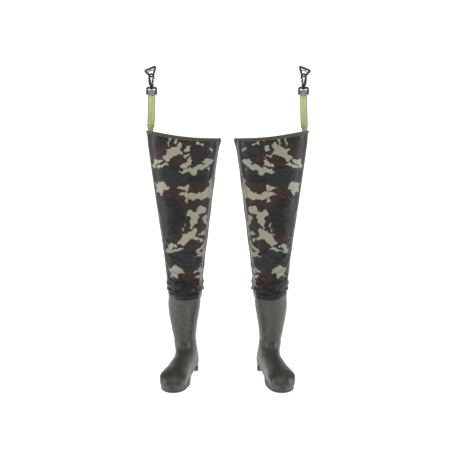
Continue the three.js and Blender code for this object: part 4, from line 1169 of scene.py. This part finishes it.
def smooth_bar(knots, wide, thick, steps=60, round_ends=True):
    """A swept bar through a few knots. The widths are given at the knots, and the ends are rounded off."""
    s = np.linspace(0, 1, steps)
    path = through(np.array(knots, float), s)
    widths = [through(np.broadcast_to(v, len(knots)).astype(float)[:, None], s)[:, 0] for v in (wide, thick)]
    if round_ends:
        run = length_along(path)
        # More points go where the dome curves fastest.
        tip = run[-1] * (1 - np.cos(np.linspace(0, math.pi / 2, 9))) * 0.03
        at = np.unique(np.round(np.concatenate([tip, run, run[-1] - tip]), 4))
        path = np.stack([np.interp(at, run, path[:, k]) for k in (0, 1)], -1)
        widths = [np.interp(at, run, w) for w in widths]
        near, reach = np.minimum(at, run[-1] - at), np.minimum(*widths) / 2
        dome = np.sqrt(np.clip(1 - (1 - np.clip(near / reach, 0, 1)) ** 2, 0.01, 1))
        widths = [w * dome for w in widths]
    return sweep(path, *widths)


def arc_points(x, z, radius, start, end, count):
    """Places on an arc about (x, z), from one angle to another in degrees."""
    angle = np.radians(np.linspace(start, end, count))
    return np.stack([x + radius * np.cos(angle), z + radius * np.sin(angle)], -1)


def evenly(path, count):
    """The same closed line with evenly spaced points."""
    loop = np.concatenate([path, path[:1]])
    run = length_along(loop)
    at = np.arange(count) / count * run[-1]
    return np.stack([np.interp(at, run, loop[:, k]) for k in (0, 1)], -1)


def lathe(profile, around, hollow):
    """A body turned about the upright axis from (radius, z) places: a ring if hollow, otherwise a full post
    that is closed at both ends."""
    angle = np.arange(around) / around * 2 * np.pi
    r, z = np.array(profile, float).T[..., None]
    return skin(np.stack([r * np.cos(angle), r * np.sin(angle), z + 0 * angle], -1), wrap_rows=hollow)


def turned(shapes, about_z=0.0, about_y=0.0, up=0.0):
    """Shapes turned about Y and then Z, in degrees, lifted, and moved to the loop's bar."""
    y, z = math.radians(about_y), math.radians(about_z)
    tilt = np.array([[math.cos(y), 0, math.sin(y)], [0, 1, 0], [-math.sin(y), 0, math.cos(y)]])
    spin = np.array([[math.cos(z), -math.sin(z), 0], [math.sin(z), math.cos(z), 0], [0, 0, 1]])
    return [(v @ (spin @ tilt).T + [0, 0, up] + BAR, f) for v, f in shapes]


print("a straight bar has", len(smooth_bar([(0, 0), (0, 5), (0, 10)], 4, 4)[0]), "points")

# %% Loop, hook, gate and belt ring
HOOK_BASE, RING_AXIS = 23.8, 66.0  # above the bar's middle
HOOK_TURN, RING_TURN, RING_TILT = 40, -30, -16  # degrees, as they hang at rest
arms = np.array([(-16.0, -5.6), (-16.0, 2), (-16.0, 8), (-15.9, 14), (-14.8, 17.5), (-11.6, 19), (0, 18.4),
                 (11.6, 19), (14.8, 17.5), (15.9, 14), (16.0, 8), (16.0, 2), (16.0, -5.6)])
arm_wide = [5.6, 6.2, 6.2, 6.4, 7, 7.6, 7.6, 7.6, 7, 6.4, 6.2, 6.2, 5.6]
loop_parts = [smooth_bar(arms, arm_wide, 7, steps=120)]
loop_parts.append(sweep([(x, 0) for x in np.linspace(-15, 15, 30)], 4, 4, corners=2))
collar = [(3.4, 15.4), (5.6, 15.4), (6.2, 16), (6.5, 18.7), (6.4, 21.5), (6.1, 23.1), (5.5, 23.6)]
collar += [(3.9, 23.6), (3.4, 23.2)]
loop_parts.append(lathe(collar, 36, hollow=True))
loop_shape = join_parts(turned(loop_parts))

spine = [(-1.6, 0.9), (-3.8, 4), (-5.4, 9), (-6.9, 15), (-8.0, 22), (-9.0, 29)]
crook = arc_points(0, 33.5, 9.2, 178, 2, 15).tolist()
nose = [(9.3, 29), (9.1, 26.6), (8.9, 25.0)]
body_knots = spine + crook + nose
body_wide = [9, 9.4, 10.4, 10.4, 9, 7.6] + [6.4] * len(crook) + [6, 5.4, 4.4]
body_thick = [7.6, 7.4, 6.8, 6.4, 6.2, 6] + [5.4] * len(crook) + [5.2, 5, 4.4]
hook_parts = [smooth_bar(body_knots, body_wide, body_thick, steps=150)]
for y in (-3.15, 3.15):
    cheek = smooth_bar([(2.4, -0.2), (2.5, 3), (2.3, 6), (1.2, 9.4)], [9, 9.6, 9, 7], 1.9, steps=30)
    hook_parts.append((cheek[0] + [0, y, 0], cheek[1]))
hook_parts.append(smooth_bar([(0, -0.4), (0, 1.2), (0, 3.2)], [13.4, 13.8, 12.6], 8.4, steps=24))
post = [(0.1, -11.1), (4.1, -11), (4.4, -10.6), (4.4, -8.9), (4.1, -8.6), (3, -8.5), (3, 0.6), (0.1, 0.7)]
hook_parts.append(lathe(post, 32, hollow=False))
hook_shape = join_parts(turned(hook_parts, HOOK_TURN, up=HOOK_BASE))

# The gate: its lever, a thumb piece that stands out from it, and three ribs on that.
lever = [(2.6, 4.6), (3.1, 8), (4.5, 13), (4.7, 18.5), (4.0, 24), (3.6, 28.4)]
gate_parts = [smooth_bar(lever, [4.4, 4.6, 5.2, 6, 4.4, 3], 3.8, steps=60)]
gate_parts.append(smooth_bar([(5.4, 18.2), (8, 18.8), (10.4, 19.6)], [6.6, 5.8, 4.6], 3.6, steps=30))
for z in (17.2, 18.9, 20.6):
    along = (z - 17) * 0.15
    gate_parts.append(smooth_bar([(9.6 + along, z), (11.1 + along, z + 0.3)], 0.9, 3.3, steps=12))
gate_shape = join_parts(turned(gate_parts, HOOK_TURN, up=HOOK_BASE))

# The ring: a triangle with a wide round corner that hangs on the hook, and a second bar across it.
triangle = np.concatenate(
    [arc_points(0, 0, 8.8, 222, 318, 16), arc_points(18.8, 17.4, 2.6, -25, 90, 10),
     arc_points(-18.8, 17.4, 2.6, 90, 205, 10)]
)
bar_line = evenly(triangle, 170)
bar_wide = mix(5.6, 7.8, ease(bar_line[:, 1], -6, 3))  # slimmer where it hangs on the hook
ring_parts = [sweep(bar_line, bar_wide, 5.4, closed=True)]
second_bar = [(-14.2, 8.4), (-9, 11.6), (0, 13.2), (9, 11.6), (14.2, 8.4)]
ring_parts.append(smooth_bar(second_bar, 3.2, 3.6, steps=50, round_ends=False))
ring_shape = join_parts(turned(ring_parts, RING_TURN, RING_TILT, up=RING_AXIS))

for side in SIDES:
    for name, shape, body, node in (
        ("loop_moulded", loop_shape, "loop", "strap_loop"),
        ("hook_moulded", hook_shape, "hook", "hook_body"),
        ("gate_moulded", gate_shape, "gate", "gate"),
        ("ring_moulded", ring_shape, "ring", "belt_ring"),
    ):
        piece = make(name, shape, side, acetal, body)
        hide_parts(f"{side}_{node}")
    for node in ("gate_pin", "gate_spring"):
        mesh = bpy.data.objects[f"{side}_{node}"].data
        mesh.materials.clear()
        mesh.materials.append(steel)
print("hook points:", len(hook_shape[0]), "ring points:", len(ring_shape[0]))

# %% [markdown]
# ## The studio
#
# A pale floor and a white background let the dark legs stand out. A plain white world would also wash them
# out, since every glossy surface mirrors it. So the world is white only behind the pair and darker on the
# camera's side, and soft lights left, right and above, with a narrow one in front, put back the long
# highlights that show the shape of the cloth.

# %% Stage
floor_material, floor_tree, floor_shader = new_finish("pale studio floor", Roughness=0.9)
floor_shader.inputs["Base Color"].default_value = (0.9, 0.9, 0.9, 1)
floor_shader.inputs["Emission Color"].default_value = (1, 1, 1, 1)
# The floor glows a little more away from the pair, where the soft lights fall short.
floor_place = {"Vector": object_place(floor_tree)}
from_pair = add_node(floor_tree, "ShaderNodeVectorMath", floor_place, operation="LENGTH").outputs["Value"]
glow = ramp(floor_tree, from_pair, 0.7, 2.6, 0.78, 1.05)
floor_tree.links.new(glow, floor_shader.inputs["Emission Strength"])
floor_mesh = bpy.data.meshes.new("studio_floor")
floor_mesh.from_pydata([(-60, -30, 0), (60, -30, 0), (60, 300, 0), (-60, 300, 0)], [], [(0, 1, 2, 3)])
floor_mesh.materials.append(floor_material)
floor = bpy.data.objects.new("studio_floor", floor_mesh)
bpy.context.scene.collection.objects.link(floor)

world = bpy.data.worlds.new("studio")
bpy.context.scene.world = world
world.use_nodes = True
sky = world.node_tree
direction = add_node(sky, "ShaderNodeTexCoord").outputs["Generated"]
direction = add_node(sky, "ShaderNodeSeparateXYZ", {"Vector": direction}).outputs
white_wall = ramp(sky, direction["Y"], 0.72, 0.92, 0.1, 1.15)
# A grey band low on the horizon keeps the other sides' backgrounds from going dark.
horizon = ramp(sky, maths(sky, "ABSOLUTE", direction["Z"]), 0.34, 0.2, 0.0, 0.28)
sky.links.new(maths(sky, "MAXIMUM", white_wall, horizon), sky.nodes["Background"].inputs["Strength"])
sky.nodes["Background"].inputs["Color"].default_value = (1, 1, 1, 1)


def soft_light(name, place_at, aim, size, power):
    """A large rectangular area light that faces a point."""
    data = bpy.data.lights.new(name, "AREA")
    data.shape, data.size, data.size_y, data.energy = "RECTANGLE", size[0], size[1], power
    light = bpy.data.objects.new(name, data)
    light.location = place_at
    x, y, z = np.array(aim) - np.array(place_at)
    light.rotation_euler = (math.atan2(math.hypot(x, y), -z), 0, math.atan2(-x, y))
    bpy.context.scene.collection.objects.link(light)
    return light


lights = [
    soft_light("left softbox", (-2.6, -0.5, 1.2), (0, 0, 0.5), (0.9, 1.9), 33),
    soft_light("right softbox", (2.7, -0.4, 1.2), (0, 0, 0.5), (0.9, 1.9), 37),
    soft_light("overhead softbox", (0, -0.9, 2.7), (0, 0, 0.3), (2.0, 1.4), 18),
    soft_light("front strip", (-0.25, -2.9, 1.9), (0, 0, 0.3), (0.3, 1.0), 8),
]
bpy.context.scene.view_settings.view_transform = "Standard"
print("lights:", ", ".join(light.name for light in lights))
